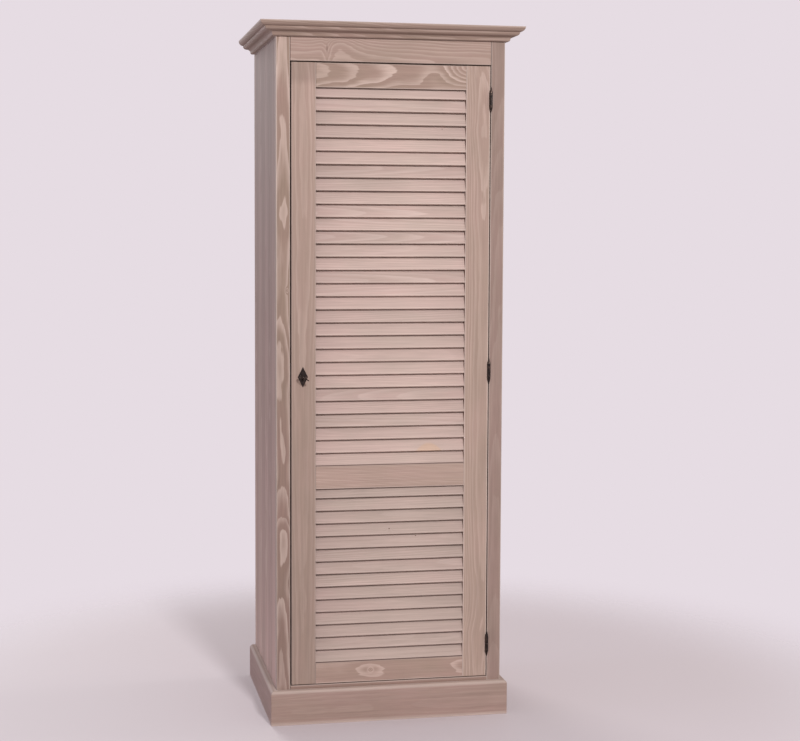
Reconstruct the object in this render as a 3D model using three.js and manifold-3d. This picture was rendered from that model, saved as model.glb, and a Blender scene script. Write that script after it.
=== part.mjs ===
// A tall cabinet of stained pine with one louvred door, in millimetres, +Z up.
// The front faces -Y. The origin is on the floor, under the middle of the cabinet's outer box.
// The louvre slats are housed in slots routed into the door stiles, and the rails are tenoned.
import * as THREE from 'three';
import { mergeVertices } from 'three/addons/utils/BufferGeometryUtils.js';
import Module from 'manifold-3d';

const wasm = await Module();
wasm.setup();

// Carcass
const overallHeight = 1900;
const carcassWidth = 628;
const carcassDepth = 510;
const sideThickness = 19;
const topThickness = 18;
const bottomThickness = 18;
const backThickness = 8;
const backRebateWidth = 10;
const bottomHousingDepth = 6;
const seatGap = 0.3; // between any two pieces that are glued, screwed or laid together
const cutOverrun = 2; // how far a cutter runs past the face that it opens

// Face frame, planed to the same thickness as the door
const framingThickness = 24;
const frameStileWidth = 38;
const frameTenonLength = 25;
const frameTenonShoulder = 12;
const tenonThickness = 8; // the face frame's and the door's
const topRailShow = 64.5; // the rail's height between the cornice and the door opening
const bottomEdgeShow = 10; // the bottom board's edge between the plinth and the door opening

// Cornice, from its bottom edge up: bead, hollow, round, fillet, ovolo
const corniceFoot = 7;
const beadSize = 4.5;
const hollowWidth = 10.5;
const hollowHeight = 9;
const roundWidth = 11;
const roundHeight = 8;
const filletSetIn = 0.5;
const filletHeight = 2.5;
const ovoloWidth = 12.5;
const ovoloHeight = 14;

// Plinth
const plinthHeight = 95;
const plinthThickness = 17;
const plinthRound = 10;
const mitreGap = 0.5;

// Shelves on screwed cleats
const shelfCount = 4;
const shelfThickness = 18;
const shelfSideGap = 1;
const shelfSetBack = 14; // behind the closed door
const cleatSection = 18;
const cleatSetBack = 40; // behind the shelf's front edge

// Door
const doorGap = 2.5;
const doorStileWidth = 67;
const doorRailTop = 66;
const doorRailMiddle = 63;
const doorRailBottom = 58;
const lowerBankHeight = 480;
const doorTenonLength = 40;
const doorTenonShoulder = 9;
const stopSection = 20;
const stopLap = 12; // how far the stop hangs below the top rail
const stopEndGap = 6;

// Louvres
const upperSlatCount = 29;
const lowerSlatCount = 14;
const slatWidth = 42;
const slatThickness = 7;
const slatEdgeRadius = 2.5;
const slatSetIn = 1; // from the door's faces to the slats' edges
const slatSlotDepth = 9;
const topSlatShow = 28; // what shows of the ripped slat under each rail
const bottomSlatShow = 33; // what shows of the ripped slat above each rail

// Hinges: lift-off pattern with pointed finials
const barrelRadius = 4.5;
const knuckleLength = 20.25;
const knuckleGap = 0.5;
const finialLength = 16;
const hingePinRadius = 2.2;
const hingePinEngagement = 15; // into each knuckle
const leafThickness = 2;
const leafHeight = 50;
const leafDepth = 20;
const leafCornerRadius = 5;
const leafClearance = 1.7; // between the two closed leaves
const leafScrewRadius = 2.1;
const leafScrewSpacing = 34;
const hingeInset = 91.5; // from the door's ends to the hinges' middles
const middleHingeHeight = 854.5; // above the door's lower edge

// Lock, bolt and key, measured from the key's axis
const lockHeight = 844.5; // above the door's lower edge
const lockBackset = 31.5;
const caseThickness = 13;
const caseTail = 13;
const caseBelow = 13;
const caseAbove = 27;
const caseWall = 1.5;
const forendThickness = 2;
const forendOverhang = 9;
const boltThickness = 7;
const boltHeight = 13;
const boltLength = 34;
const boltThrow = 9;
const boltRecess = 0.5; // of the withdrawn bolt behind the door's edge
const boltPostRadius = 1.7;
const boltPostSetIn = 19.5; // from the door's edge
const strikeThickness = 1.5;
const strikeHeight = 50;
const strikeWidth = 12;
const strikeClearance = 0.8;
const strikePocketDepth = 12;
const plateWidth = 27.7;
const plateHeight = 55.6;
const plateThickness = 1.5;
const keyShaftRadius = 3;
const keyClearance = 0.4;
const keyStand = 33; // from the door's face to the middle of the bow
const bowWidth = 30;
const bowLength = 22;
const bowRim = 4.5;
const bowThickness = 3;
const collarRadius = 4.2;
const collarLength = 3;
const bitReach = 9.5;
const bitThickness = 2.6;
const bitLength = 7.5;
const bitRoot = 2; // how deep the bit's root lies in the shaft
const bitNotch = 2;
const drillPinRadius = 1.2;
const keyBoreRadius = 1.6;
const keyBoreDepth = 9;
const keyTurnedDegrees = 58; // the key stands this far past its way in
const fullTurnDegrees = 360;

// Facets
const cornerSegments = 2;
const mouldSegments = 5;
const barrelSegments = 20;
const finialSegments = 6;
const finialTaperPower = 0.8;
const smallRoundSegments = 14;
const bowSegments = 8;

// Worked out from the sizes above
const corniceProjection = corniceFoot + beadSize + hollowWidth + roundWidth + filletSetIn + ovoloWidth;
const corniceHeight = beadSize + hollowHeight + roundHeight + filletHeight + ovoloHeight;
const halfCarcass = carcassWidth / 2;
const underTop = overallHeight - topThickness;
const innerHalf = halfCarcass - sideThickness;
const openingHalf = halfCarcass - frameStileWidth;
const openingBottom = plinthHeight + bottomEdgeShow;
const openingTop = overallHeight - corniceHeight - topRailShow;
const doorHalf = openingHalf - doorGap;
const doorBottom = openingBottom + doorGap;
const doorHeight = openingTop - openingBottom - 2 * doorGap;
const louvreHalf = doorHalf - doorStileWidth;
const frontOfBack = carcassDepth - backThickness;
const barrelStandOff = barrelRadius + seatGap;
const barrelAxisX = openingHalf - doorGap / 2;
const leafProud = (doorGap - leafClearance) / 2;
const leafInside = doorGap / 2 - leafProud; // from the barrel's axis to a leaf's near face
const keyAxisX = lockBackset - doorHalf;
const caseBack = framingThickness - seatGap;
const caseFront = caseBack - caseThickness;
const boltMiddleY = caseFront + caseThickness / 2;
const boltLow = Math.hypot(bitReach, bitThickness / 2) + 2 * seatGap;
const boltMiddleZ = boltLow + boltHeight / 2;
const boltPerDegree = boltThrow / fullTurnDegrees;
const boltOut = keyTurnedDegrees * boltPerDegree - boltRecess; // past the door's edge, key as it stands
const boltTravelIn = keyTurnedDegrees * boltPerDegree;
const boltTravelOut = boltThrow - boltTravelIn;

const pine = new THREE.MeshStandardMaterial({ color: '#b39a8f', roughness: 0.62, metalness: 0 });
const palePine = new THREE.MeshStandardMaterial({ color: '#c3aba0', roughness: 0.62, metalness: 0 });
const iron = new THREE.MeshStandardMaterial({ color: '#2e2725', roughness: 0.5, metalness: 0.8 });
const steel = new THREE.MeshStandardMaterial({ color: '#8b8781', roughness: 0.4, metalness: 0.9 });

const cabinet = new THREE.Group();
// Everything in these two groups is measured from the face frame's front and the cabinet's middle.
const carcass = new THREE.Group();
carcass.position.y = (corniceProjection - carcassDepth) / 2;
const door = new THREE.Group();
door.position.set(0, carcass.position.y, doorBottom);
cabinet.add(carcass, door);

// A closed three.js geometry as a solid that can be joined and cut.
function solidOf(geometry) {
  const bare = geometry.clone();
  bare.deleteAttribute('normal');
  bare.deleteAttribute('uv');
  const merged = mergeVertices(bare);
  return new wasm.Manifold(new wasm.Mesh({
    numProp: 3,
    vertProperties: merged.attributes.position.array,
    triVerts: new Uint32Array(merged.index.array),
  }));
}

// The solid back as a three.js geometry.
function geometryOf(solid) {
  const made = solid.getMesh();
  const geometry = new THREE.BufferGeometry();
  geometry.setAttribute('position', new THREE.BufferAttribute(made.vertProperties, made.numProp));
  geometry.setIndex(new THREE.BufferAttribute(made.triVerts, 1));
  geometry.computeVertexNormals();
  return geometry;
}

// One named piece of the cabinet.
function piece(parent, name, solid, material, x = 0, y = 0, z = 0) {
  const mesh = new THREE.Mesh(geometryOf(solid), material);
  mesh.name = name;
  mesh.position.set(x, y, z);
  parent.add(mesh);
  return mesh;
}

// A block from its low corner to its high corner.
function block([x0, y0, z0], [x1, y1, z1]) {
  const geometry = new THREE.BoxGeometry(x1 - x0, y1 - y0, z1 - z0);
  geometry.translate((x0 + x1) / 2, (y0 + y1) / 2, (z0 + z1) / 2);
  return solidOf(geometry);
}

// A flat outline made thick. The basis says where the outline's two directions and its thickness point.
function thicken(shape, thickness, basis, curveSegments = mouldSegments) {
  const geometry = new THREE.ExtrudeGeometry(shape, { depth: thickness, bevelEnabled: false, curveSegments });
  geometry.applyMatrix4(new THREE.Matrix4().makeBasis(...basis));
  return geometry;
}
const right = new THREE.Vector3(1, 0, 0);
const back = new THREE.Vector3(0, 1, 0);
const front = new THREE.Vector3(0, -1, 0);
const up = new THREE.Vector3(0, 0, 1);

// A rod along Y from y0 to y1, with its axis at x, z.
function rodAlongY(radius, y0, y1, x = 0, z = 0) {
  const geometry = new THREE.CylinderGeometry(radius, radius, y1 - y0, smallRoundSegments);
  geometry.translate(x, (y0 + y1) / 2, z);
  return solidOf(geometry);
}

// A mirror-image piece on the other side of the cabinet.
function mirrored(mesh, name) {
  const copy = mesh.clone();
  copy.name = name;
  copy.scale.x = -1;
  copy.position.x = -mesh.position.x;
  mesh.parent.add(copy);
  return copy;
}

// Sides, top, bottom and back

function sidePanel() {
  const panelFront = framingThickness + seatGap;
  const top = underTop - seatGap;
  const panel = block([0, panelFront, 0], [sideThickness, carcassDepth, top]);
  const rebate = block(
    [sideThickness - backRebateWidth, frontOfBack - seatGap, -cutOverrun],
    [sideThickness + cutOverrun, carcassDepth + cutOverrun, top + cutOverrun],
  );
  const housing = block(
    [sideThickness - bottomHousingDepth, panelFront - cutOverrun, openingBottom - bottomThickness - seatGap],
    [sideThickness + cutOverrun, carcassDepth + cutOverrun, openingBottom + seatGap],
  );
  return panel.subtract(rebate).subtract(housing);
}

function bottomBoard() {
  const body = block(
    [seatGap - innerHalf - bottomHousingDepth, framingThickness + 2 * seatGap, 0],
    [innerHalf + bottomHousingDepth - seatGap, frontOfBack - 2 * seatGap, bottomThickness],
  );
  const lip = block(
    [seatGap - openingHalf, 0, 0],
    [openingHalf - seatGap, framingThickness + cutOverrun, bottomThickness],
  );
  return body.add(lip);
}

function backPanel() {
  const halfWidth = innerHalf + backRebateWidth - seatGap;
  const height = underTop - seatGap - (openingBottom - bottomThickness);
  return block([-halfWidth, 0, 0], [halfWidth, backThickness, height]);
}

function buildCarcass() {
  const side = piece(carcass, 'side_panel_left', sidePanel(), pine, -halfCarcass);
  mirrored(side, 'side_panel_right');
  piece(carcass, 'bottom_board', bottomBoard(), pine, 0, 0, openingBottom - bottomThickness);
  const top = block([-halfCarcass, 0, 0], [halfCarcass, carcassDepth, topThickness]);
  piece(carcass, 'top_board', top, pine, 0, 0, underTop);
  piece(carcass, 'back_panel', backPanel(), pine, 0, frontOfBack, openingBottom - bottomThickness);
}

// Face frame, whose rail is tenoned into the stiles

function frameStile() {
  const stile = block([0, 0, 0], [frameStileWidth, framingThickness, underTop - seatGap]);
  const mortise = block(
    [
      frameStileWidth - frameTenonLength - seatGap,
      (framingThickness - tenonThickness) / 2 - seatGap,
      openingTop + frameTenonShoulder - seatGap,
    ],
    [
      frameStileWidth + cutOverrun,
      (framingThickness + tenonThickness) / 2 + seatGap,
      underTop - frameTenonShoulder + seatGap,
    ],
  );
  return stile.subtract(mortise);
}

// A rail with a tenon at each end, standing on z = 0 and centred on x = 0.
function tenonedRail(halfWidth, height, tenonLength, shoulder) {
  const body = block([seatGap - halfWidth, 0, 0], [halfWidth - seatGap, framingThickness, height]);
  const tenon = block(
    [-halfWidth - tenonLength, (framingThickness - tenonThickness) / 2, shoulder],
    [halfWidth + tenonLength, (framingThickness + tenonThickness) / 2, height - shoulder],
  );
  return body.add(tenon);
}

function doorStop() {
  const halfWidth = openingHalf - stopEndGap;
  return block([-halfWidth, 0, 0], [halfWidth, stopSection, stopSection + stopLap]);
}

function buildFaceFrame() {
  const strikeSide = frameStile().subtract(strikeMortise());
  piece(carcass, 'frame_stile_left', strikeSide, pine, -halfCarcass);
  const hingeSide = hingeHeights().reduce(
    (stile, height) => stile.subtract(leafMortise(doorBottom + height)),
    frameStile(),
  );
  const rightStile = piece(carcass, 'frame_stile_right', hingeSide, pine, halfCarcass);
  rightStile.scale.x = -1;
  const railHeight = underTop - seatGap - openingTop;
  const rail = tenonedRail(openingHalf, railHeight, frameTenonLength, frameTenonShoulder);
  piece(carcass, 'frame_rail_top', rail, pine, 0, 0, openingTop);
  piece(carcass, 'door_stop', doorStop(), pine, 0, framingThickness + seatGap, openingTop - stopLap);
}

// Mitred mouldings. An outline is drawn as (out from the carcass, up), and each end of the run
// is moved by how far the outline stands out, which makes the mitre.

function mitredRun(shape, startOf, endOf) {
  const geometry = new THREE.ExtrudeGeometry(shape, {
    depth: 1,
    bevelEnabled: false,
    curveSegments: mouldSegments,
  });
  const position = geometry.attributes.position;
  for (let i = 0; i < position.count; i += 1) {
    const out = position.getX(i);
    const along = position.getZ(i) > 0 ? endOf(out) : startOf(out);
    position.setZ(i, along);
  }
  return geometry;
}

// Along the front: outline out is -Y, outline up is +Z, so the run points to -X.
function frontMoulding(shape) {
  const reach = (out) => halfCarcass + out - mitreGap / 2;
  const geometry = mitredRun(shape, (out) => -reach(out), reach);
  geometry.applyMatrix4(new THREE.Matrix4().makeBasis(front, up, right.clone().negate()));
  return solidOf(geometry);
}

// Along the left side: outline out is -X, outline up is +Z, and the run points to +Y.
function sideMoulding(shape) {
  const geometry = mitredRun(shape, (out) => mitreGap / 2 - out, () => carcassDepth);
  geometry.applyMatrix4(new THREE.Matrix4().makeBasis(right.clone().negate(), up, back));
  return solidOf(geometry);
}

function corniceOutline() {
  const shape = new THREE.Shape();
  const quarter = Math.PI / 2;
  let out = corniceFoot;
  let rise = 0;
  shape.moveTo(seatGap, rise);
  shape.lineTo(out, rise);
  shape.absellipse(out, rise + beadSize, beadSize, beadSize, -quarter, 0, false);
  out += beadSize;
  rise += beadSize;
  shape.absellipse(out + hollowWidth, rise, hollowWidth, hollowHeight, Math.PI, quarter, true);
  out += hollowWidth;
  rise += hollowHeight;
  shape.absellipse(out, rise + roundHeight, roundWidth, roundHeight, -quarter, 0, false);
  out += roundWidth;
  rise += roundHeight + filletHeight;
  shape.lineTo(out, rise);
  out += filletSetIn;
  shape.lineTo(out, rise);
  shape.absellipse(out, rise + ovoloHeight, ovoloWidth, ovoloHeight, -quarter, 0, false);
  shape.lineTo(seatGap, corniceHeight);
  shape.closePath();
  return shape;
}

function plinthOutline() {
  const shape = new THREE.Shape();
  shape.moveTo(seatGap, 0);
  shape.lineTo(plinthThickness, 0);
  shape.absarc(plinthThickness - plinthRound, plinthHeight - plinthRound, plinthRound, 0, Math.PI / 2, false);
  shape.lineTo(seatGap, plinthHeight);
  shape.closePath();
  return shape;
}

function buildMouldings() {
  const runs = [
    ['cornice', corniceOutline(), overallHeight - corniceHeight],
    ['plinth', plinthOutline(), 0],
  ];
  for (const [name, outline, height] of runs) {
    piece(carcass, `${name}_front`, frontMoulding(outline), pine, 0, 0, height);
    const left = piece(carcass, `${name}_left`, sideMoulding(outline), pine, -halfCarcass, 0, height);
    mirrored(left, `${name}_right`);
  }
}

// Shelves, evenly spaced between the bottom and the top

function buildShelves() {
  const shelfFront = framingThickness + shelfSetBack;
  const shelfBack = frontOfBack - 2 * seatGap;
  const halfWidth = innerHalf - shelfSideGap;
  const clearHeight = underTop - openingBottom - shelfCount * shelfThickness;
  const rise = clearHeight / (shelfCount + 1) + shelfThickness;
  for (let i = 1; i <= shelfCount; i += 1) {
    const underside = openingBottom + i * rise - shelfThickness;
    const shelf = block([-halfWidth, shelfFront, 0], [halfWidth, shelfBack, shelfThickness]);
    piece(carcass, `shelf_${i}`, shelf, pine, 0, 0, underside);
    const cleat = block([0, shelfFront + cleatSetBack, 0], [cleatSection, shelfBack, cleatSection]);
    const left = piece(
      carcass, `shelf_cleat_${i}_left`, cleat, pine,
      seatGap - innerHalf, 0, underside - seatGap - cleatSection,
    );
    mirrored(left, `shelf_cleat_${i}_right`);
  }
}

// Louvre slats. Each leans back so that it fills the door's thickness less the set-in of its edges.

const slatRun = framingThickness - 2 * slatSetIn;
const slatLean = Math.asin(slatRun / Math.hypot(slatWidth, slatThickness)) - Math.atan2(slatThickness, slatWidth);
const slatRise = slatWidth * Math.cos(slatLean) + slatThickness * Math.sin(slatLean);

// A slat of the given length along X, centred on its own middle. Grown by a gap, it cuts its own slot.
function slat(length, grow = 0) {
  const halfWide = slatWidth / 2 + grow;
  const halfThick = slatThickness / 2 + grow;
  const radius = slatEdgeRadius + grow;
  const shape = new THREE.Shape();
  [[1, 1], [-1, 1], [-1, -1], [1, -1]].forEach(([sx, sy], corner) => {
    const start = corner * Math.PI / 2;
    shape.absarc(sx * (halfThick - radius), sy * (halfWide - radius), radius, start, start + Math.PI / 2, false);
  });
  shape.closePath();
  const geometry = thicken(shape, length, [right, back, up], cornerSegments);
  geometry.rotateZ(-slatLean);
  geometry.applyMatrix4(new THREE.Matrix4().makeBasis(back, up, right));
  geometry.translate(-length / 2, 0, 0);
  return solidOf(geometry);
}

// One bank of slats between two rails, as [solid, middle height] pairs.
// The first and last slat are ripped down to the opening.
function bank(count, low, high, length, grow = 0) {
  const pitch = (high - low - topSlatShow - bottomSlatShow) / (count - 2);
  const blank = slat(length, grow);
  const reach = length / 2 + cutOverrun;
  const deep = framingThickness;
  return Array.from({ length: count }, (_, i) => {
    const middle = high - topSlatShow - i * pitch + slatRise / 2;
    const floor = low + seatGap - grow - middle;
    const ceiling = high - seatGap + grow - middle;
    if (floor > -slatRise / 2) {
      return [blank.subtract(block([-reach, -deep, -slatRise], [reach, deep, floor])), middle];
    }
    if (ceiling < slatRise / 2) {
      return [blank.subtract(block([-reach, -deep, ceiling], [reach, deep, slatRise])), middle];
    }
    return [blank, middle];
  });
}

const lowerBank = [doorRailBottom, doorRailBottom + lowerBankHeight];
const upperBank = [lowerBank[1] + doorRailMiddle, doorHeight - doorRailTop];
const slatLength = 2 * (louvreHalf + slatSlotDepth - seatGap);

function moved(solid, x, y, z) {
  return solid.translate([x, y, z]);
}

// Door frame: the stiles stand on z = 0 with the outer edge at x = 0 and the louvres towards +X.

function doorStile(slotBanks) {
  let stile = block([0, 0, 0], [doorStileWidth, framingThickness, doorHeight]);
  for (const [low, high] of [
    [0, doorRailBottom],
    [lowerBank[1], upperBank[0]],
    [upperBank[1], doorHeight],
  ]) {
    stile = stile.subtract(block(
      [
        doorStileWidth - doorTenonLength - seatGap,
        (framingThickness - tenonThickness) / 2 - seatGap,
        low + doorTenonShoulder - seatGap,
      ],
      [
        doorStileWidth + cutOverrun,
        (framingThickness + tenonThickness) / 2 + seatGap,
        high - doorTenonShoulder + seatGap,
      ],
    ));
  }
  for (const [count, low, high] of slotBanks) {
    const length = slatSlotDepth + cutOverrun;
    for (const [cutter, middle] of bank(count, low, high, length, seatGap)) {
      const x = doorStileWidth - slatSlotDepth + length / 2;
      stile = stile.subtract(moved(cutter, x, framingThickness / 2, middle));
    }
  }
  return stile;
}

// The upper slats are one piece with the lock stile, which carries their left ends.
function lockStileWithUpperLouvres() {
  let stile = doorStile([[lowerSlatCount, ...lowerBank]]);
  const middleX = doorStileWidth + louvreHalf;
  for (const [solid, middle] of bank(upperSlatCount, ...upperBank, slatLength)) {
    stile = stile.add(moved(solid, middleX, framingThickness / 2, middle));
  }
  return stile.subtract(lockMortise());
}

function hingeStile() {
  const stile = doorStile([[lowerSlatCount, ...lowerBank], [upperSlatCount, ...upperBank]]);
  return hingeHeights().reduce((cut, height) => cut.subtract(doorLeafMortise(height)), stile);
}

function buildDoor() {
  piece(door, 'door_stile_lock_side_with_upper_louvres', lockStileWithUpperLouvres(), palePine, -doorHalf);
  const hinge = piece(door, 'door_stile_hinge_side', hingeStile(), pine, doorHalf);
  hinge.scale.x = -1;
  const rails = [
    ['door_rail_bottom', 0, doorRailBottom],
    ['door_rail_middle', lowerBank[1], doorRailMiddle],
    ['door_rail_top', upperBank[1], doorRailTop],
  ];
  for (const [name, low, height] of rails) {
    const rail = tenonedRail(louvreHalf, height, doorTenonLength, doorTenonShoulder);
    piece(door, name, rail, pine, 0, 0, low);
  }
  bank(lowerSlatCount, ...lowerBank, slatLength).reverse().forEach(([solid, middle], i) => {
    const name = `louvre_slat_${String(i + 1).padStart(2, '0')}`;
    piece(door, name, solid, palePine, 0, framingThickness / 2, middle);
  });
}

// Hinges. Each is drawn about its barrel's axis at mid height, leaf towards +Y.

function hingeHeights() {
  return [hingeInset, middleHingeHeight, doorHeight - hingeInset];
}

// A knuckle standing on the joint line and ending in a pointed finial, with a blind bore for the pin.
function knuckle() {
  const profile = [new THREE.Vector2(0, 0), new THREE.Vector2(barrelRadius, 0)];
  for (let i = 0; i < finialSegments; i += 1) {
    const share = i / finialSegments;
    const radius = barrelRadius * (1 - share) ** finialTaperPower;
    profile.push(new THREE.Vector2(radius, knuckleLength + share * finialLength));
  }
  profile.push(new THREE.Vector2(0, knuckleLength + finialLength));
  const geometry = new THREE.LatheGeometry(profile, barrelSegments);
  geometry.rotateX(Math.PI / 2);
  geometry.translate(0, 0, knuckleGap / 2);
  return solidOf(geometry);
}

function knuckleBore() {
  const radius = hingePinRadius + seatGap;
  const depth = hingePinEngagement + 2 * seatGap;
  const geometry = new THREE.CylinderGeometry(radius, radius, 2 * depth, smallRoundSegments);
  geometry.rotateX(Math.PI / 2);
  return solidOf(geometry);
}

// The upper half of a hinge: knuckle, neck and leaf. The leaf lies on the -X side of the joint.
function leafHalf() {
  const leafStart = barrelStandOff + seatGap;
  const leafEnd = leafStart + leafDepth;
  const half = leafHeight / 2;
  const shape = new THREE.Shape();
  shape.moveTo(leafStart, -half);
  shape.lineTo(leafEnd - leafCornerRadius, -half);
  shape.absarc(leafEnd - leafCornerRadius, leafCornerRadius - half, leafCornerRadius, -Math.PI / 2, 0, false);
  shape.absarc(leafEnd - leafCornerRadius, half - leafCornerRadius, leafCornerRadius, 0, Math.PI / 2, false);
  shape.lineTo(leafStart, half);
  shape.closePath();
  for (const side of [-1, 1]) {
    const hole = new THREE.Path();
    const middle = (leafStart + leafEnd) / 2;
    hole.absarc(middle, side * leafScrewSpacing / 2, leafScrewRadius, 0, 2 * Math.PI, true);
    shape.holes.push(hole);
  }
  const plate = thicken(shape, leafThickness, [back, up, right], mouldSegments);
  plate.translate(-leafInside - leafThickness, 0, 0);
  const neck = block(
    [-leafInside - leafThickness, 0, knuckleGap / 2],
    [-leafInside, leafStart + cutOverrun, knuckleLength],
  );
  return knuckle().add(neck).add(solidOf(plate)).subtract(knuckleBore());
}

function hingePin() {
  const geometry = new THREE.CylinderGeometry(
    hingePinRadius, hingePinRadius, 2 * hingePinEngagement, smallRoundSegments,
  );
  geometry.rotateX(Math.PI / 2);
  return solidOf(geometry);
}

// The shallow recess for a leaf, let into a stile's edge at x = edge.
function leafRecess(edge, inwards, middle) {
  const deep = leafThickness - leafProud + seatGap;
  const x = [edge + inwards * deep, edge - inwards * cutOverrun];
  const end = leafDepth + 2 * seatGap;
  const half = leafHeight / 2 + seatGap;
  return block([Math.min(...x), -cutOverrun, middle - half], [Math.max(...x), end, middle + half]);
}

// In the frame stile's own space, where its inner edge is at x = frameStileWidth.
function leafMortise(middle) {
  return leafRecess(frameStileWidth, -1, middle);
}

// In the door stile's own space, where its outer edge is at x = 0.
function doorLeafMortise(middle) {
  return leafRecess(0, 1, middle);
}

function buildHinges() {
  const names = ['bottom', 'middle', 'top'];
  const doorHalfHinge = leafHalf();
  hingeHeights().forEach((height, i) => {
    piece(door, `hinge_${names[i]}_door_leaf`, doorHalfHinge, iron, barrelAxisX, -barrelStandOff, height);
    const frameLeaf = piece(
      carcass, `hinge_${names[i]}_frame_leaf`, doorHalfHinge, iron,
      barrelAxisX, -barrelStandOff, doorBottom + height,
    );
    frameLeaf.rotation.y = Math.PI;
    piece(carcass, `hinge_${names[i]}_pin`, hingePin(), steel, barrelAxisX, -barrelStandOff, doorBottom + height);
  });
}

// Lock. Everything is drawn about the key's axis, with y = 0 on the door's front face.

function keyhole(y0, y1) {
  const radius = keyShaftRadius + keyClearance;
  const slotHalf = bitThickness / 2 + keyClearance;
  const foot = bitReach + keyClearance;
  return rodAlongY(radius, y0, y1).add(block([-slotHalf, y0, -foot], [slotHalf, y1, 0]));
}

function boltBlock(x0, x1, clearance) {
  return block(
    [x0, boltMiddleY - boltThickness / 2 - clearance, boltLow - clearance],
    [x1, boltMiddleY + boltThickness / 2 + clearance, boltLow + boltHeight + clearance],
  );
}

function lockCase() {
  const forendInside = forendThickness - lockBackset;
  const body = block([forendInside, caseFront, -caseBelow], [caseTail, caseBack, caseAbove]);
  const forend = block(
    [-lockBackset, caseFront, -caseBelow - forendOverhang],
    [forendInside, caseBack, caseAbove + forendOverhang],
  );
  const cavity = block(
    [forendInside, caseFront + caseWall, caseWall - caseBelow],
    [caseTail - caseWall, caseBack - caseWall, caseAbove - caseWall],
  );
  const mouth = boltBlock(-lockBackset - cutOverrun, forendInside + cutOverrun, seatGap);
  const postX = boltPostSetIn - lockBackset;
  const post = rodAlongY(boltPostRadius, caseFront, caseBack, postX, boltMiddleZ);
  const drillPin = rodAlongY(drillPinRadius, keyEnd() - keyBoreDepth + 2 * seatGap, caseBack);
  return body.add(forend).subtract(cavity).subtract(mouth).add(post).add(drillPin)
    .subtract(keyhole(caseFront - cutOverrun, caseFront + caseWall + seatGap));
}

// Where the key's shaft ends, inside the case.
function keyEnd() {
  return caseBack - caseWall - 2 * seatGap;
}

function lockBolt() {
  const nose = -lockBackset - boltOut;
  const postX = boltPostSetIn - lockBackset;
  const slotHalf = boltPostRadius + seatGap;
  const slot = block(
    [postX - slotHalf - boltTravelIn, caseFront, boltMiddleZ - slotHalf],
    [postX + slotHalf + boltTravelOut, caseBack, boltMiddleZ + slotHalf],
  );
  return boltBlock(nose, nose + boltLength, 0).subtract(slot);
}

// The key is drawn with its bow and bit lying flat, and the mesh is turned to where it stands.
function keySolid() {
  const bow = new THREE.Shape();
  bow.absellipse(0, 0, bowWidth / 2, bowLength / 2, 0, 2 * Math.PI, false);
  const eye = new THREE.Path();
  eye.absellipse(0, 0, bowWidth / 2 - bowRim, bowLength / 2 - bowRim, 0, 2 * Math.PI, true);
  bow.holes.push(eye);
  const ring = thicken(bow, bowThickness, [right, back, up], bowSegments);
  ring.translate(0, -keyStand, -bowThickness / 2);
  const shaftStart = bowLength / 2 - bowRim / 2 - keyStand;
  const collarStart = bowLength / 2 - keyStand;
  const bitBack = keyEnd() - 2 * seatGap;
  const bit = block(
    [bitRoot, bitBack - bitLength, -bitThickness / 2],
    [bitReach, bitBack, bitThickness / 2],
  );
  const notch = block(
    [bitReach - bitNotch, bitBack - (bitLength + bitNotch) / 2, -bitThickness],
    [bitReach + cutOverrun, bitBack - (bitLength - bitNotch) / 2, bitThickness],
  );
  return solidOf(ring)
    .add(rodAlongY(keyShaftRadius, shaftStart, keyEnd()))
    .add(rodAlongY(collarRadius, collarStart, collarStart + collarLength))
    .add(bit.subtract(notch))
    .subtract(rodAlongY(keyBoreRadius, keyEnd() - keyBoreDepth, keyEnd() + cutOverrun));
}

function escutcheon() {
  const shape = new THREE.Shape();
  shape.moveTo(0, -plateHeight / 2);
  shape.lineTo(plateWidth / 2, 0);
  shape.lineTo(0, plateHeight / 2);
  shape.lineTo(-plateWidth / 2, 0);
  shape.closePath();
  const plate = thicken(shape, plateThickness, [right, up, front]);
  return solidOf(plate).subtract(keyhole(-plateThickness - cutOverrun, cutOverrun));
}

// What the lock takes out of the stile, in the stile's own space.
function lockMortise() {
  const forendInside = forendThickness - lockBackset;
  const pocket = block(
    [forendInside - cutOverrun, caseFront - seatGap, -caseBelow - seatGap],
    [caseTail + seatGap, framingThickness + cutOverrun, caseAbove + seatGap],
  );
  const forendPocket = block(
    [-lockBackset - cutOverrun, caseFront - seatGap, -caseBelow - forendOverhang - seatGap],
    [forendInside + seatGap, framingThickness + cutOverrun, caseAbove + forendOverhang + seatGap],
  );
  const cut = pocket.add(forendPocket).add(keyhole(-cutOverrun, caseFront));
  return moved(cut, lockBackset, 0, lockHeight);
}

function strikePlate() {
  const half = strikeHeight / 2;
  const plate = block(
    [-strikeThickness, boltMiddleY - strikeWidth / 2, boltMiddleZ - half],
    [0, boltMiddleY + strikeWidth / 2, boltMiddleZ + half],
  );
  return plate.subtract(boltBlock(-strikeThickness - cutOverrun, cutOverrun, strikeClearance));
}

// What the strike plate and the thrown bolt take out of the frame stile, in the stile's own space.
function strikeMortise() {
  const half = strikeHeight / 2 + seatGap;
  const seat = block(
    [-strikeThickness - seatGap, boltMiddleY - strikeWidth / 2 - seatGap, boltMiddleZ - half],
    [cutOverrun, boltMiddleY + strikeWidth / 2 + seatGap, boltMiddleZ + half],
  );
  const pocket = boltBlock(-strikeThickness - strikePocketDepth, 0, strikeClearance);
  return moved(seat.add(pocket), frameStileWidth, 0, doorBottom + lockHeight);
}

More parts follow.
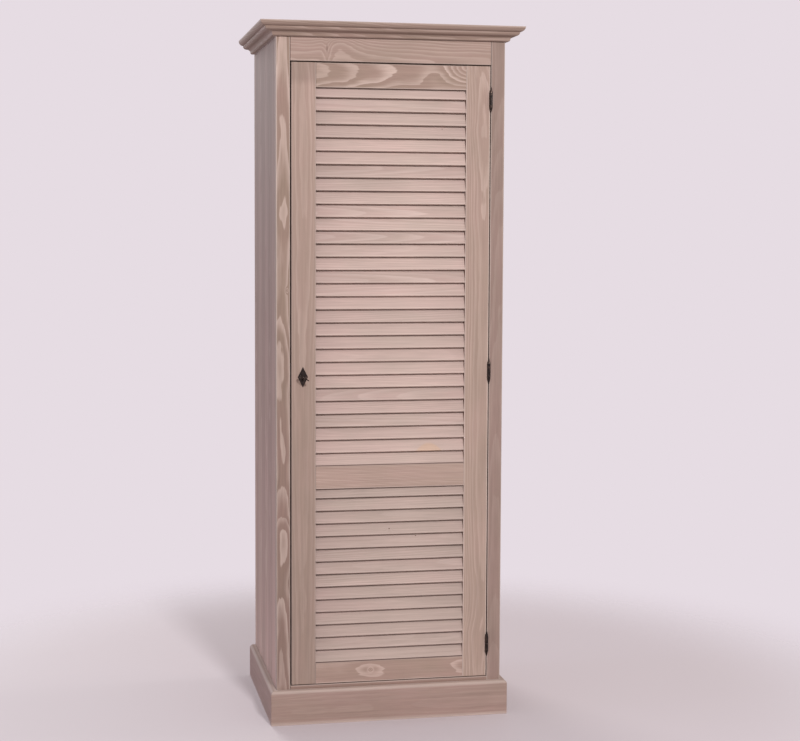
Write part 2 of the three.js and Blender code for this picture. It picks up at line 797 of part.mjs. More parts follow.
function buildLock() {
  piece(door, 'lock_case', lockCase(), steel, keyAxisX, 0, lockHeight);
  piece(door, 'lock_bolt', lockBolt(), steel, keyAxisX, 0, lockHeight);
  piece(door, 'escutcheon', escutcheon(), iron, keyAxisX, -seatGap, lockHeight);
  const key = piece(door, 'key', keySolid(), iron, keyAxisX, 0, lockHeight);
  key.rotation.y = Math.PI / 2 - THREE.MathUtils.degToRad(keyTurnedDegrees);
  piece(carcass, 'strike_plate', strikePlate(), steel, -openingHalf, 0, doorBottom + lockHeight);
}

buildCarcass();
buildFaceFrame();
buildMouldings();
buildShelves();
buildDoor();
buildHinges();
buildLock();

export default cabinet;
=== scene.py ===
# Louvred cabinet of stained pine: the looks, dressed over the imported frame.
# Metres, front facing -Y, +Z up. Boards, slats and mouldings are outlines carried along a length,
# the ironware is turned or cut from plate, and the grain is drawn from where each board lay in its log.
import math

import bpy
import numpy as np
from mathutils import Matrix, Vector


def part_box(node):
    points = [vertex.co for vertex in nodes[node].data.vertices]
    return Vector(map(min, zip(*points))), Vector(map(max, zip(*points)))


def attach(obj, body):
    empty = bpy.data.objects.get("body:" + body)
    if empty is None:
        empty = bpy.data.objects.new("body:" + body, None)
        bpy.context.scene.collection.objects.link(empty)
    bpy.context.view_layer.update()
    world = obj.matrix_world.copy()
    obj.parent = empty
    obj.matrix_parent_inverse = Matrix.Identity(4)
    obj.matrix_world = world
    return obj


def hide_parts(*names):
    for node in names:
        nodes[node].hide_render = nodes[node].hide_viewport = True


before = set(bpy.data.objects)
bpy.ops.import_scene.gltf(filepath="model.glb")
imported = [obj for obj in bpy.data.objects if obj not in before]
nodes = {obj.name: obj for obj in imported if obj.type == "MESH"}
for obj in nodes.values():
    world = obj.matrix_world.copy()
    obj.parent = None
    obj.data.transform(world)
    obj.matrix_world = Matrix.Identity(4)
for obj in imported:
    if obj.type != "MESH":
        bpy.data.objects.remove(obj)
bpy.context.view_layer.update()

mm = 0.001
unit = np.eye(3)
upFront = (unit[2], unit[0], -unit[1])  # an upright board of the front: along, across, outwards
acrossFront = (unit[0], unit[2], -unit[1])  # a level one
rubbedAndHighlight = 2.2 * mm  # how far in from an edge it is pale: stain rubbed off, and a painted highlight
seatGap = 0.3 * mm  # between two pieces that are glued or screwed together
past = 2 * mm  # how far a cutter runs beyond the faces that it opens
lap = 1 * mm  # how far two shells reach into each other where they are joined
hingeHeights = ("bottom", "middle", "top")


def newObject(name, data):
    # An object in the scene, at the origin.
    made = bpy.data.objects.new(name, data)
    bpy.context.scene.collection.objects.link(made)
    return made


# Camera, fitted to the photograph's straight edges in an image 800 wide

cameraSet = {
    "imageWidth": 800,
    "focalPixels": 1673.22,
    "sensor": 36.0,  # mm
    "downShiftPixels": 24,
    "place": (-0.87726, -4.69495, 1.36698),
    "yaw": 0.19954,  # radians, like the next two
    "pitch": -0.07339,
    "roll": 0.00431,
}


def makeCamera(s):
    # It looks along its own -Z. The roll turns its side and top about the way ahead.
    data = bpy.data.cameras.new("camera")
    data.sensor_width = s["sensor"]
    data.lens = s["focalPixels"] / s["imageWidth"] * s["sensor"]
    data.shift_y = -s["downShiftPixels"] / s["imageWidth"]
    camera = newObject("camera", data)
    yaw, pitch, roll = s["yaw"], s["pitch"], s["roll"]
    ahead = Vector((math.sin(yaw) * math.cos(pitch), math.cos(yaw) * math.cos(pitch), math.sin(pitch)))
    level = Vector((math.cos(yaw), -math.sin(yaw), 0))
    upright = level.cross(ahead)
    side = math.cos(roll) * level + math.sin(roll) * upright
    top = math.cos(roll) * upright - math.sin(roll) * level
    turn = Matrix((side, top, -ahead)).transposed().to_4x4()
    camera.matrix_world = Matrix.Translation(s["place"]) @ turn
    bpy.context.scene.camera = camera


makeCamera(cameraSet)
print("camera set")


# Meshes

def corners(node):
    # The low and the high corner of a CAD node's box.
    low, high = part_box(node)
    return np.array(low), np.array(high)


def meshPiece(name, points, faces, smooth):
    # A mesh as an object. Smooth is one flag for each face.
    mesh = bpy.data.meshes.new(name)
    mesh.from_pydata(points.tolist(), [], faces)
    mesh.polygons.foreach_set("use_smooth", smooth)
    mesh.update()
    return newObject(name, mesh)


def loft(name, rings, smooth=True, closedLoop=False):
    # Quads between neighbouring rings, each a closed outline, counterclockwise as seen from the far
    # end. A closed loop joins the last ring to the first, otherwise both ends get a flat cap.
    ringCount, pointCount, _ = rings.shape
    spans = ringCount if closedLoop else ringCount - 1
    ring, point = np.mgrid[0:spans, 0:pointCount]
    here = ring * pointCount
    there = (ring + 1) % ringCount * pointCount
    after = (point + 1) % pointCount
    quads = np.stack([here + point, here + after, there + after, there + point], -1).reshape(-1, 4)
    flags = np.broadcast_to(smooth, (spans, pointCount)).ravel()
    faces = quads.tolist()
    if not closedLoop:
        last = (ringCount - 1) * pointCount
        faces += [list(range(pointCount))[::-1], list(range(last, last + pointCount))]
        flags = np.append(flags, [False, False])
    return meshPiece(name, rings.reshape(-1, 3), faces, flags)


def boardOutline(halfWide, halfDeep, edge, borders, rub, steps=4):
    # Four quarter circles set in from the corners, with points at the borders of glued staves on
    # the two long sides, and as far in from each corner as the pale edge reaches, where the stain is
    # rubbed off and a highlight is painted. The second array is the way in that each point takes
    # where an end is eased.
    angle = np.linspace(0, np.pi / 2, steps + 1)
    arc = edge * np.stack([np.cos(angle), np.sin(angle)], 1)
    arc = np.concatenate([[(edge, -rub)], arc, [(-rub, edge)]])
    middle = np.array([halfWide - edge, halfDeep - edge])
    flip = np.array([-1.0, 1.0])
    inwards = np.full_like(arc, -1.0)
    quarters = [
        (middle + arc, inwards),
        ((middle + arc[::-1]) * flip, inwards * flip),
        (-middle - arc, -inwards),
        (-(middle + arc[::-1]) * flip, -inwards * flip),
    ]
    borders = np.sort(np.asarray(borders, float))
    level = np.full(len(borders), halfDeep)
    down = np.tile([0.0, -1.0], (len(borders), 1))
    quarters.insert(1, (np.stack([borders[::-1], level], 1), down))
    quarters.insert(4, (np.stack([borders, -level], 1), -down))
    return np.concatenate([q[0] for q in quarters]), np.concatenate([q[1] for q in quarters])


def board(name, low, high, axis, edge, endEdge=None, borders=(), cuts=0, easeSteps=3):
    # A rounded rectangle carried along the axis. Near each end it shrinks along a quarter circle.
    # Borders are where staves are glued together. Cuts are further rings along the length, for a
    # grain that bends.
    low, high = np.asarray(low, float), np.asarray(high, float)
    endEdge = edge if endEdge is None else endEdge
    wide, deep = (axis + 1) % 3, (axis + 2) % 3
    if len(borders) and high[deep] - low[deep] > high[wide] - low[wide]:
        wide, deep = deep, wide
    middle, half = (low + high) / 2, (high - low) / 2
    outline, inwards = boardOutline(half[wide], half[deep], edge, np.asarray(borders) - middle[wide], rubbedAndHighlight)
    angle = np.linspace(0, np.pi / 2, easeSteps + 1)
    shrink = endEdge * (1 - np.sin(angle))
    inset = endEdge * (1 - np.cos(angle))
    shrink = np.concatenate([shrink, np.zeros(cuts), shrink[::-1]])
    between = np.linspace(endEdge - half[axis], half[axis] - endEdge, cuts + 2)[1:-1]
    along = np.concatenate([inset - half[axis], between, half[axis] - inset[::-1]])
    flat = outline + shrink[:, None, None] * inwards
    rings = np.empty((*flat.shape[:2], 3))
    rings[:, :, wide] = middle[wide] + flat[:, :, 0]
    rings[:, :, deep] = middle[deep] + flat[:, :, 1]
    rings[:, :, axis] = middle[axis] + along[:, None]
    if (wide, deep) != ((axis + 1) % 3, (axis + 2) % 3):
        rings = rings[:, ::-1]
    return loft(name, rings)


def block(low, high):
    # A sharp box to cut with.
    low, high = np.asarray(low, float), np.asarray(high, float)
    base = np.array([(0, 0, 0), (1, 0, 0), (1, 1, 0), (0, 1, 0)])
    return loft("cutter", low + np.stack([base, base + unit[2]]) * (high - low), False)


def turned(name, foot, axis, profile, count=24):
    # A lathe: each (height, radius) pair becomes a circle round the axis, from the foot upwards.
    axis = np.asarray(axis, float)
    across = unit[np.argmin(abs(axis))]
    third = np.cross(axis, across)
    angle = np.linspace(0, 2 * np.pi, count, endpoint=False)
    circle = np.cos(angle)[:, None] * across + np.sin(angle)[:, None] * third
    profile = np.asarray(profile, float)
    return loft(name, np.asarray(foot) + profile[:, :1, None] * axis + profile[:, 1:, None] * circle)


def combined(piece, other, operation="DIFFERENCE"):
    # The other mesh taken from the piece, or added to it, for good.
    change = piece.modifiers.new("change", "BOOLEAN")
    change.operation = operation
    change.solver = "MANIFOLD"
    change.object = other
    scene = bpy.context.evaluated_depsgraph_get()
    mesh = bpy.data.meshes.new_from_object(piece.evaluated_get(scene))
    piece.modifiers.clear()
    old, piece.data = piece.data, mesh
    bpy.data.meshes.remove(old)
    bpy.data.objects.remove(other)
    return piece


def gathered(name, pieces):
    # Closed shells that don't touch, as one mesh.
    points, faces, flags, start = [], [], [], 0
    for piece in pieces:
        mesh = piece.data
        own = np.empty(len(mesh.vertices) * 3)
        mesh.vertices.foreach_get("co", own)
        points.append(own.reshape(-1, 3))
        faces += [[start + v for v in face.vertices] for face in mesh.polygons]
        flags += [face.use_smooth for face in mesh.polygons]
        start += len(mesh.vertices)
        bpy.data.objects.remove(piece)
    return meshPiece(name, np.concatenate(points), faces, np.array(flags))


def placedCopy(piece, name, matrix):
    # A copy whose place is in its mesh.
    mesh = piece.data.copy()
    mesh.transform(matrix)
    return newObject(name, mesh)


def fit(piece, slot, body, *replaced):
    # Its finish, the body that it rides on, its slot and the CAD nodes that it stands for.
    piece.data.materials.clear()
    piece.data.materials.append(finishes[slot])
    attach(piece, body)
    if replaced:
        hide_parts(*replaced)


# Grain

# Pine, planed, brushed and rubbed with a grey-brown stain. The soft early wood drinks the stain
# and goes dark, the hard late wood keeps it off, so the flames are pale lines that end abruptly.
woodSet = {
    "ringWidth": 3.4,  # mm between the years' rings
    "wander": 30.0,  # mm that the rings stray from round, slowly, in ripples and in a fine crown
    "ripple": 3.5,
    "crown": 1.1,
    # Each pattern's size in mm along and across the log, and its octaves. The fibre is a little
    # coarser than real so that it shows.
    "patterns": {
        "wander": (769.231, 142.857, 1.0), "ripple": (111.111, 29.412, 2.0), "crown": (83.333, 6.667, 1.0),
        "fibre": (125, 1.1, 2.0), "streak": (333.333, 6, 2.0), "cloud": (166.667, 62.5, 3.0),
    },
    "swing": {"streak": 0.07, "fibre": 0.09, "cloud": 0.05},  # share by which each makes it lighter or darker
    "calm": (0.25, 0.75),  # the part of a noise's range that nearly all of it lies in
    "lateWood": (0.25, 0.93),  # the part of a year over which the late wood comes in
    "ringStop": (0.94, 1.0),  # and over which it ends
    "weakYear": 0.55,  # the weakest year's strength
    "paleMean": 0.3,  # the late wood's mean share, which keeps a board's lightness at any strength
    "paleShare": 0.45,  # the paler colour's mean share
    "knotCore": (0.02, 0.07, 400.0, -1.6),  # inner and outer rim, strength per metre of swell, least swell
    "pocketRim": (0.75, 1.0),  # where a resin pocket fades out
    "relief": (0.35, 0.15 * mm, 0.6),  # bump strength and depth, and how far the late wood stands out
    "pinkGround": "#957169",
    "greenGround": "#917767",
    "paleRing": "#CDB2A7",
    "knot": "#5D4238",
    # Eased edges are painted paler: partly stain rubbed off, partly a painted highlight.
    "arris": "#DCC6BC",
    "rubbedAndHighlightShare": 0.75,
    # The dark towards gaps and recesses: painted shade, with some pooled stain.
    "pooledAndShade": "#4E2A20",
    "resin": "#CDA88C",
    "roughness": (0.72, 0.84),
    "ior": 1.5,
    "specular": 0.15,
}
rippleMean = (woodSet["ripple"] + woodSet["crown"]) * mm / 2

# Where a board without a table of flames lay in its log, how its staves differ, its pale edges
# (rubbed stain and a painted highlight) and its painted shade with some pooled stain
logSet = {
    "depth": (0.045, 0.1),  # m from the pith
    "lean": (0.009, 0.02),
    "start": (0, 40),  # m along, so that no two boards match
    "sideLean": 0.3,  # how much of the lean also goes sideways
    "staveLight": 0.025,  # how far each stave strays from the board's lightness and pinkness
    "stavePink": 0.12,
    "arris": 1.6,  # how soon the pale edge, rubbed stain and painted highlight, is full towards the edge
    "pooledAndShadeBack": 0.75,  # share of the painted shade and pooled stain left half way to the back
    "level": 0.9995,  # cosine; a face that is turned less than that from a board's side stays flat
}


def writeCorners(mesh, name, values):
    # An attribute of single numbers or of vectors, one for each corner of each face.
    kind, field = ("FLOAT", "value") if values.ndim == 1 else ("FLOAT_VECTOR", "vector")
    mesh.attributes.new(name, kind, "CORNER").data.foreach_set(field, values.astype(np.float32).ravel())


knotNames = ("knotA", "knotB", "knotC")


def curveThrough(table, at):
    # A cubic between each two neighbouring rows, with the mean slope at each row.
    places, values = table[:, 0], table[:, 1:]
    slopes = np.gradient(values, places, axis=0)
    i = np.clip(np.searchsorted(places, at) - 1, 0, len(places) - 2)
    step = (places[i + 1] - places[i])[:, None]
    t = np.clip((at - places[i])[:, None] / step, 0, 1)
    return (
        (1 + 2 * t) * (1 - t) ** 2 * values[i] + t * (1 - t) ** 2 * step * slopes[i]
        + (3 - 2 * t) * t ** 2 * values[i + 1] + (t - 1) * t ** 2 * step * slopes[i + 1]
    )


def grain(
    piece, seed, along, wide, deep, borders=(), light=(0, 1), pink=(0, 0), figure=0.3, pith=None, climb=None,
    flames=None, innerRings=17, knots=(), resin=(), edge=1.0, dark=(), staveTones=None,
):
    # Where each corner of each face lay in the log: how far along it, and how far across and out
    # from its pith. A stave of a glued panel has a log of its own. Every log leans a little, which
    # draws the flames. A table places them: rows of the place along, the ring that the face meets
    # there, and where across it the pith is. The tone is lightness, pinkness and how strong the
    # flames are, the first two as rows of place along and value. The arris is how far round an
    # eased edge the corner lies; there the colour is painted pale, as rubbed-off stain and a painted
    # highlight. Towards a dark face the colour is painted darker, most at its front: painted shade in
    # the gaps and under the slats, with some pooled stain. Each gives the axis (0 along, 1 wide,
    # 2 deep), the side, the reach and the amount. A knot or a resin spot gives its place along and
    # across, its half length and half width, and its swell or amount.
    mesh = piece.data
    count = len(mesh.loops)
    points = np.empty(len(mesh.vertices) * 3)
    mesh.vertices.foreach_get("co", points)
    vertexOf = np.empty(count, int)
    mesh.loops.foreach_get("vertex_index", vertexOf)
    basis = np.array([along, wide, deep], float)
    local = points.reshape(-1, 3) @ basis.T
    middle = (local.min(0) + local.max(0)) / 2
    half = np.ptp(local, axis=0) / 2
    own = (local - middle)[vertexOf]
    place = own[:, 0] + middle[0]

    sizes = np.empty(len(mesh.polygons), int)
    mesh.polygons.foreach_get("loop_total", sizes)
    faceOf = np.repeat(np.arange(len(sizes)), sizes)
    faceWide = np.bincount(faceOf, own[:, 1]) / sizes
    limits = np.sort(np.asarray(borders, float)) - middle[1]
    stave = np.searchsorted(limits, faceWide)[faceOf]

    chance = np.random.default_rng(seed)
    sides = np.r_[-half[1], limits, half[1]]
    staves = len(limits) + 1
    aside = chance.uniform(-1.0, 1.0, staves) * np.diff(sides) / 2
    depth = chance.uniform(*logSet["depth"], staves)
    lean = chance.uniform(*logSet["lean"], staves) * chance.choice([-1, 1], staves)
    start = chance.uniform(*logSet["start"], staves)
    if pith is not None:
        aside[:], depth[:] = pith
    if climb is not None:
        lean[:] = climb
    heart = (sides[1:] + sides[:-1]) / 2 + aside
    log = np.stack([
        own[:, 0] + start[stave],
        own[:, 1] - heart[stave] + logSet["sideLean"] * lean[stave] * own[:, 0],
        own[:, 2] + depth[stave] + lean[stave] * own[:, 0],
    ], 1)
    if flames:
        ring, heartPlace = curveThrough(np.array(flames, float) * (mm, 1, mm), place).T
        log[:, 1] = own[:, 1] + middle[1] - heartPlace
        log[:, 2] = own[:, 2] - half[2] + (ring + innerRings) * woodSet["ringWidth"] * mm - rippleMean
    writeCorners(mesh, "log", log)
    writeCorners(mesh, "wander", np.full(count, 0.0 if flames else 1.0))

    # Painted pale towards the eased edges: stain rubbed off and a painted highlight.
    easing = edge * mm + rubbedAndHighlight
    over = np.clip((abs(own) - (half - easing)) / easing, 0, 1)
    writeCorners(mesh, "arris", np.clip(logSet["arris"] * over[:, 1] * over[:, 2], 0, 1))

    lights, pinks = (np.interp(place, *(np.atleast_2d(rows) * (mm, 1)).T) for rows in (light, pink))
    if staveTones:
        staveLight, stavePink = np.asarray(staveTones)[:staves].T
    else:
        staveLight = 1 + chance.uniform(-logSet["staveLight"], logSet["staveLight"], staves)
        stavePink = chance.uniform(-logSet["stavePink"], logSet["stavePink"], staves)
    tone = np.stack([lights * staveLight[stave], pinks + stavePink[stave], np.full(count, figure)], 1)
    writeCorners(mesh, "tone", tone)

    # Painted shade towards each dark face, with some pooled stain, less towards the back.
    pooledAndShade = np.zeros(count)
    for axis, side, reach, amount in dark:
        pooledAndShade += amount * np.clip((side * own[:, axis] - half[axis]) / (reach * mm) + 1, 0, 1)
    pooledAndShade *= logSet["pooledAndShadeBack"] + (1 - logSet["pooledAndShadeBack"]) * own[:, 2] / half[2]
    writeCorners(mesh, "pooledAndShade", np.clip(pooledAndShade, 0, 1))

    spots = [*zip(knotNames, knots), *(("resin", spot) for spot in resin)]
    for name, (u, v, length, width, swell) in spots:
        x, y = (place - u) / length, (own[:, 1] + middle[1] - v) / width
        writeCorners(mesh, name, np.stack([x, y, np.full(count, swell)], 1))

    normals = np.empty(len(mesh.polygons) * 3)
    mesh.polygons.foreach_get("normal", normals)
    level = abs(normals.reshape(-1, 3) @ basis.T).max(1) > logSet["level"]
    mesh.polygons.foreach_set("use_smooth", ~level)
    mesh.update()


# Materials

def linear(code):
    # An sRGB hex value as linear light: a straight foot, then the 2.4 power.
    srgb = np.array([int(code[i:i + 2], 16) for i in (1, 3, 5)]) / 255
    return (*np.where(srgb <= 0.04045, srgb / 12.92, ((srgb + 0.055) / 1.055) ** 2.4), 1.0)


def feed(tree, node, inputs):
    # Each input, by name or place, gets another node's output or a value of its own.
    for key, value in inputs.items() if isinstance(inputs, dict) else enumerate(inputs):
        if isinstance(value, bpy.types.NodeSocket):
            tree.links.new(value, node.inputs[key])
        else:
            node.inputs[key].default_value = value


def addNode(tree, kind, inputs=(), out=0, **settings):
    # One node with its settings, values and links. It returns one of its outputs, if it has any.
    node = tree.nodes.new("ShaderNode" + kind)
    for name, value in settings.items():
        setattr(node, name, value)
    feed(tree, node, inputs)
    return node.outputs[out] if node.outputs else node


def newMaterial(name):
    # A material with its node tree and its shader.
    material = bpy.data.materials.new(name)
    material.use_nodes = True
    return material, material.node_tree, material.node_tree.nodes["Principled BSDF"]


def woodMaterial(name, s):
    # Year rings are the whole numbers of distance from the pith over ring width. Each lies over the
    # stained ground as its share of the paler colour, and three noises make the whole uneven.
    material, tree, shader = newMaterial(name)
    log = addNode(tree, "Attribute", out="Vector", attribute_name="log")
    tones = addNode(tree, "Attribute", out="Vector", attribute_name="tone")
    tone = addNode(tree, "SeparateXYZ", [tones]).node.outputs
    calmLow, calmHigh = s["calm"]
    noise = {}
    for pattern, (along, across, octaves) in s["patterns"].items():
        scale = (1 / (along * mm), 1 / (across * mm), 1 / (across * mm))
        place = addNode(tree, "VectorMath", [log, scale], operation="MULTIPLY")
        noise[pattern] = addNode(tree, "TexNoise", {"Vector": place, "Scale": 1.0, "Detail": octaves})

    # Distance from the pith, out of round by three of the patterns.
    section = addNode(tree, "VectorMath", [log, (0, 1, 1)], operation="MULTIPLY")
    distance = addNode(tree, "VectorMath", [section], out="Value", operation="LENGTH")
    wanders = addNode(tree, "Attribute", out="Fac", attribute_name="wander")
    wander = addNode(tree, "Math", [wanders, s["wander"] * mm], operation="MULTIPLY")
    for pattern, far in (("wander", wander), ("ripple", s["ripple"] * mm), ("crown", s["crown"] * mm)):
        distance = addNode(tree, "Math", [noise[pattern], far, distance], operation="MULTIPLY_ADD")

    # A knot lifts the rings round itself in a bell, e to the power of -(x² + y²), and is dark at its heart.
    rimIn, rimOut, strength, least = s["knotCore"]
    heart = 0.0
    for attribute in knotNames:
        knotAt = addNode(tree, "Attribute", out="Vector", attribute_name=attribute)
        flat = addNode(tree, "VectorMath", [knotAt, (1, 1, 0)], operation="MULTIPLY")
        square = addNode(tree, "VectorMath", [flat, flat], out="Value", operation="DOT_PRODUCT")
        fall = addNode(tree, "Math", [square, -1.0], operation="MULTIPLY")
        bell = addNode(tree, "Math", [fall], operation="EXPONENT")
        swell = addNode(tree, "SeparateXYZ", [knotAt], out=2)
        distance = addNode(tree, "Math", [bell, swell, distance], operation="MULTIPLY_ADD")
        core = [square, rimIn, rimOut, strength, 0.0]
        core = addNode(tree, "MapRange", core, interpolation_type="SMOOTHSTEP")
        core = addNode(tree, "Math", [core, swell, least], operation="MULTIPLY_ADD", use_clamp=True)
        heart = addNode(tree, "Math", [heart, core], operation="MAXIMUM")

    # Each ring fades in from its inner side and ends at once. Some years are stronger than others.
    rings = addNode(tree, "Math", [distance, s["ringWidth"] * mm], operation="DIVIDE")
    phase = addNode(tree, "Math", [rings], operation="FRACT")
    year = addNode(tree, "Math", [rings], operation="FLOOR")
    luck = addNode(tree, "TexWhiteNoise", {"W": year}, noise_dimensions="1D")
    late = addNode(tree, "MapRange", [phase, *s["lateWood"]], interpolation_type="SMOOTHSTEP")
    stop = addNode(tree, "MapRange", [phase, *s["ringStop"], 1.0, 0.0])
    share = addNode(tree, "MapRange", [luck, 0, 1, s["weakYear"], 1.0])
    for factor in (stop, share):
        late = addNode(tree, "Math", [late, factor], operation="MULTIPLY")
    late = addNode(tree, "Math", [late, s["paleMean"]], operation="SUBTRACT")
    pale = addNode(tree, "Math", [late, tone["Z"], s["paleShare"]], operation="MULTIPLY_ADD", use_clamp=True)

    # Clouds of the stain turn from greenish to pink. A resin pocket is a lens, where x² + y is small.
    hue = addNode(tree, "MapRange", [noise["cloud"], calmLow, calmHigh])
    hue = addNode(tree, "Math", [hue, tone["Y"]], operation="ADD", use_clamp=True)
    # Pale at eased edges: rubbed-off stain and a painted highlight. Darker towards gaps: painted shade with
    # some pooled stain.
    arris = addNode(tree, "Attribute", out="Fac", attribute_name="arris")
    arris = addNode(tree, "Math", [arris, s["rubbedAndHighlightShare"]], operation="MULTIPLY")
    pooledAndShade = addNode(tree, "Attribute", out="Fac", attribute_name="pooledAndShade")
    resinAt = addNode(tree, "Attribute", out="Vector", attribute_name="resin")
    bend = addNode(tree, "VectorMath", [resinAt, (1, 0, 0), (0, 1, 0)], operation="MULTIPLY_ADD")
    reach = addNode(tree, "VectorMath", [bend, resinAt], out="Value", operation="DOT_PRODUCT")
    inside = addNode(tree, "MapRange", [reach, *s["pocketRim"], 1.0, 0.0])
    amount = addNode(tree, "SeparateXYZ", [resinAt], out=2)
    pocket = addNode(tree, "Math", [inside, amount], operation="MULTIPLY")
    colour = linear(s["greenGround"])
    layers = {
        "pinkGround": hue, "paleRing": pale, "arris": arris, "pooledAndShade": pooledAndShade, "knot": heart, "resin": pocket,
    }
    for over, share in layers.items():
        colour = addNode(tree, "Mix", {0: share, 6: colour, 7: linear(s[over])}, out=2, data_type="RGBA")
    shade = tone["X"]
    for pattern, swing in s["swing"].items():
        part = addNode(tree, "MapRange", [noise[pattern], calmLow, calmHigh, 1 - swing, 1 + swing])
        shade = addNode(tree, "Math", [shade, part], operation="MULTIPLY")
    colour = addNode(tree, "VectorMath", {0: colour, "Scale": shade}, operation="SCALE")

    strength, deep, proud = s["relief"]
    relief = addNode(tree, "Math", [late, proud, noise["fibre"]], operation="MULTIPLY_ADD")
    bump = addNode(tree, "Bump", {"Strength": strength, "Distance": deep, "Height": relief})
    dull = addNode(tree, "MapRange", [noise["fibre"], 0, 1, *s["roughness"]])
    feed(tree, shader, {
        "Base Color": colour, "Roughness": dull, "Normal": bump, "IOR": s["ior"],
        "Specular IOR Level": s["specular"],
    })
    return material


slatSet = {
    **woodSet, "wander": 14.0, "ripple": 1.6, "crown": 0.6, "rubbedAndHighlightShare": 0.35,
    "pinkGround": "#AC8A83", "greenGround": "#A79084", "paleRing": "#DAC3BB",
}


# Wrought iron, blackened with oil: nearly black, with a broken satin shine and brown where worn.
ironSet = {
    "black": "#2A2321", "brown": "#54443C", "roughness": (0.2, 0.48), "metallic": 0.85,
    "patch": 9.0,  # mm between worn patches, and between hammer marks
    "hammer": 2.381,
    "worn": (0.45, 0.75),
    "relief": (0.3, 0.2 * mm),  # bump strength and depth
}


def ironMaterial(name, s):
    # One noise mixes the colours and sets the shine, a finer one gives the hammer's marks.
    material, tree, shader = newMaterial(name)
    place = addNode(tree, "TexCoord", out="Object")
    patch = addNode(tree, "TexNoise", {"Vector": place, "Scale": 1 / (s["patch"] * mm), "Detail": 4.0})
    worn = addNode(tree, "MapRange", [patch, *s["worn"]], interpolation_type="SMOOTHSTEP")
    both = {0: worn, 6: linear(s["black"]), 7: linear(s["brown"])}
    colour = addNode(tree, "Mix", both, out=2, data_type="RGBA")
    dull = addNode(tree, "MapRange", [patch, 0, 1, *s["roughness"]])
    hammer = addNode(tree, "TexNoise", {"Vector": place, "Scale": 1 / (s["hammer"] * mm), "Detail": 1.0})
    strength, deep = s["relief"]
    bump = addNode(tree, "Bump", {"Strength": strength, "Distance": deep, "Height": hammer})
    feed(tree, shader, {"Base Color": colour, "Roughness": dull, "Normal": bump, "Metallic": s["metallic"]})
    return material


# Rolled mild steel with a thin zinc coat: grey, with fine rolling lines and dull spots.
steelSet = {
    "bright": "#A5A29C", "dull": "#7C7974", "roughness": (0.28, 0.52), "metallic": 0.95,
    "line": (33.333, 0.6),  # mm along and between the rolling lines
    "spot": 8.333,  # mm between dull spots
}


def steelMaterial(name, s):
    # One noise mixes the colours, one that is stretched along the height sets the shine.
    material, tree, shader = newMaterial(name)
    place = addNode(tree, "TexCoord", out="Object")
    along, between = s["line"]
    scale = (1 / (between * mm), 1 / (between * mm), 1 / (along * mm))
    lineAt = addNode(tree, "VectorMath", [place, scale], operation="MULTIPLY")
    line = addNode(tree, "TexNoise", {"Vector": lineAt, "Scale": 1.0, "Detail": 2.0})
    spot = addNode(tree, "TexNoise", {"Vector": place, "Scale": 1 / (s["spot"] * mm), "Detail": 3.0})
    both = {0: spot, 6: linear(s["bright"]), 7: linear(s["dull"])}
    colour = addNode(tree, "Mix", both, out=2, data_type="RGBA")
    dull = addNode(tree, "MapRange", [line, 0, 1, *s["roughness"]])
    feed(tree, shader, {"Base Color": colour, "Roughness": dull, "Metallic": s["metallic"]})
    return material


finishes = {
    "stained_pine": woodMaterial("stained_pine_brushed", woodSet),
    "louvre_pine": woodMaterial("stained_pine_slats", slatSet),
    "inner_pine": woodMaterial("stained_pine_glued_boards", woodSet),
    "black_iron": ironMaterial("blackened_wrought_iron", ironSet),
    "plain_steel": steelMaterial("zinc_plated_steel", steelSet),
}
print("materials made")


# Carcass: glued side panels, top, bottom and back

carcassSet = {
    "sideEdges": (1.2 * mm, 0.4 * mm),  # how far the long edges and the ends are rounded
    "topEdges": (0.6 * mm, 0.4 * mm),
    "bottomEdges": (0.8 * mm, 0.4 * mm),
    "rebate": (10 * mm, 8.3 * mm),  # for the back, across and along the depth
    "housing": 6 * mm,  # how deep the bottom board sits in the sides
    "leastStave": 20 * mm,
    "sideStaves": (70, 96, 62, 84, 74, 58),  # mm, from the front
    "sideTones": ((1.0, 0.35), (0.9, 0.3), (1.02, 0.0), (0.88, 0.2), (1.0, -0.2), (0.9, 0.1), (1.03, -0.5)),
    # The side panels are painted darker towards the top, as painted shade.
    "sidePaintedShade": [(0, 1.07), (1000, 1.02), (1850, 0.61)],  # mm up and lightness
    "sidePink": [(0, 0), (1000, 0.1), (1850, 0.9)],
    "topStaves": (88, 64, 92, 70, 86, 60),
    "shelfStaves": (76, 90, 68, 84, 66),
    # Painted shade along the bottom board's front edge, below the door.
    "bottomDark": [(1, -1, 3.2, 0.6)],
    "backBoard": 88 * mm,
    "groove": (1.6 * mm, 1.3 * mm),  # half width and depth of the joints in the back
    "grooveIn": 3 * mm,  # a point this far from the back's edges keeps them crisp
}
frontY = corners("frame_stile_left")[0][1]


def staveBorders(low, high, widths):
    # Where each stave meets the next: the low side plus the sum of the widths so far.
    places = low + np.cumsum(widths) * mm
    return places[places < high - carcassSet["leastStave"]]


def boardPiece(node, ending, slot, seed, ways, edges, staves=(), cutters=(), **look):
    # A board in its node's box. Ways are its directions along, across and outwards.
    low, high = corners(node)
    borders = staveBorders(low[1], high[1], staves)
    piece = board(f"{node}_{ending}", low, high, int(np.argmax(ways[0])), *edges, borders)
    for cutter in cutters:
        piece = combined(piece, cutter)
    grain(piece, seed, *ways, borders, **look)
    fit(piece, slot, "carcass", node)


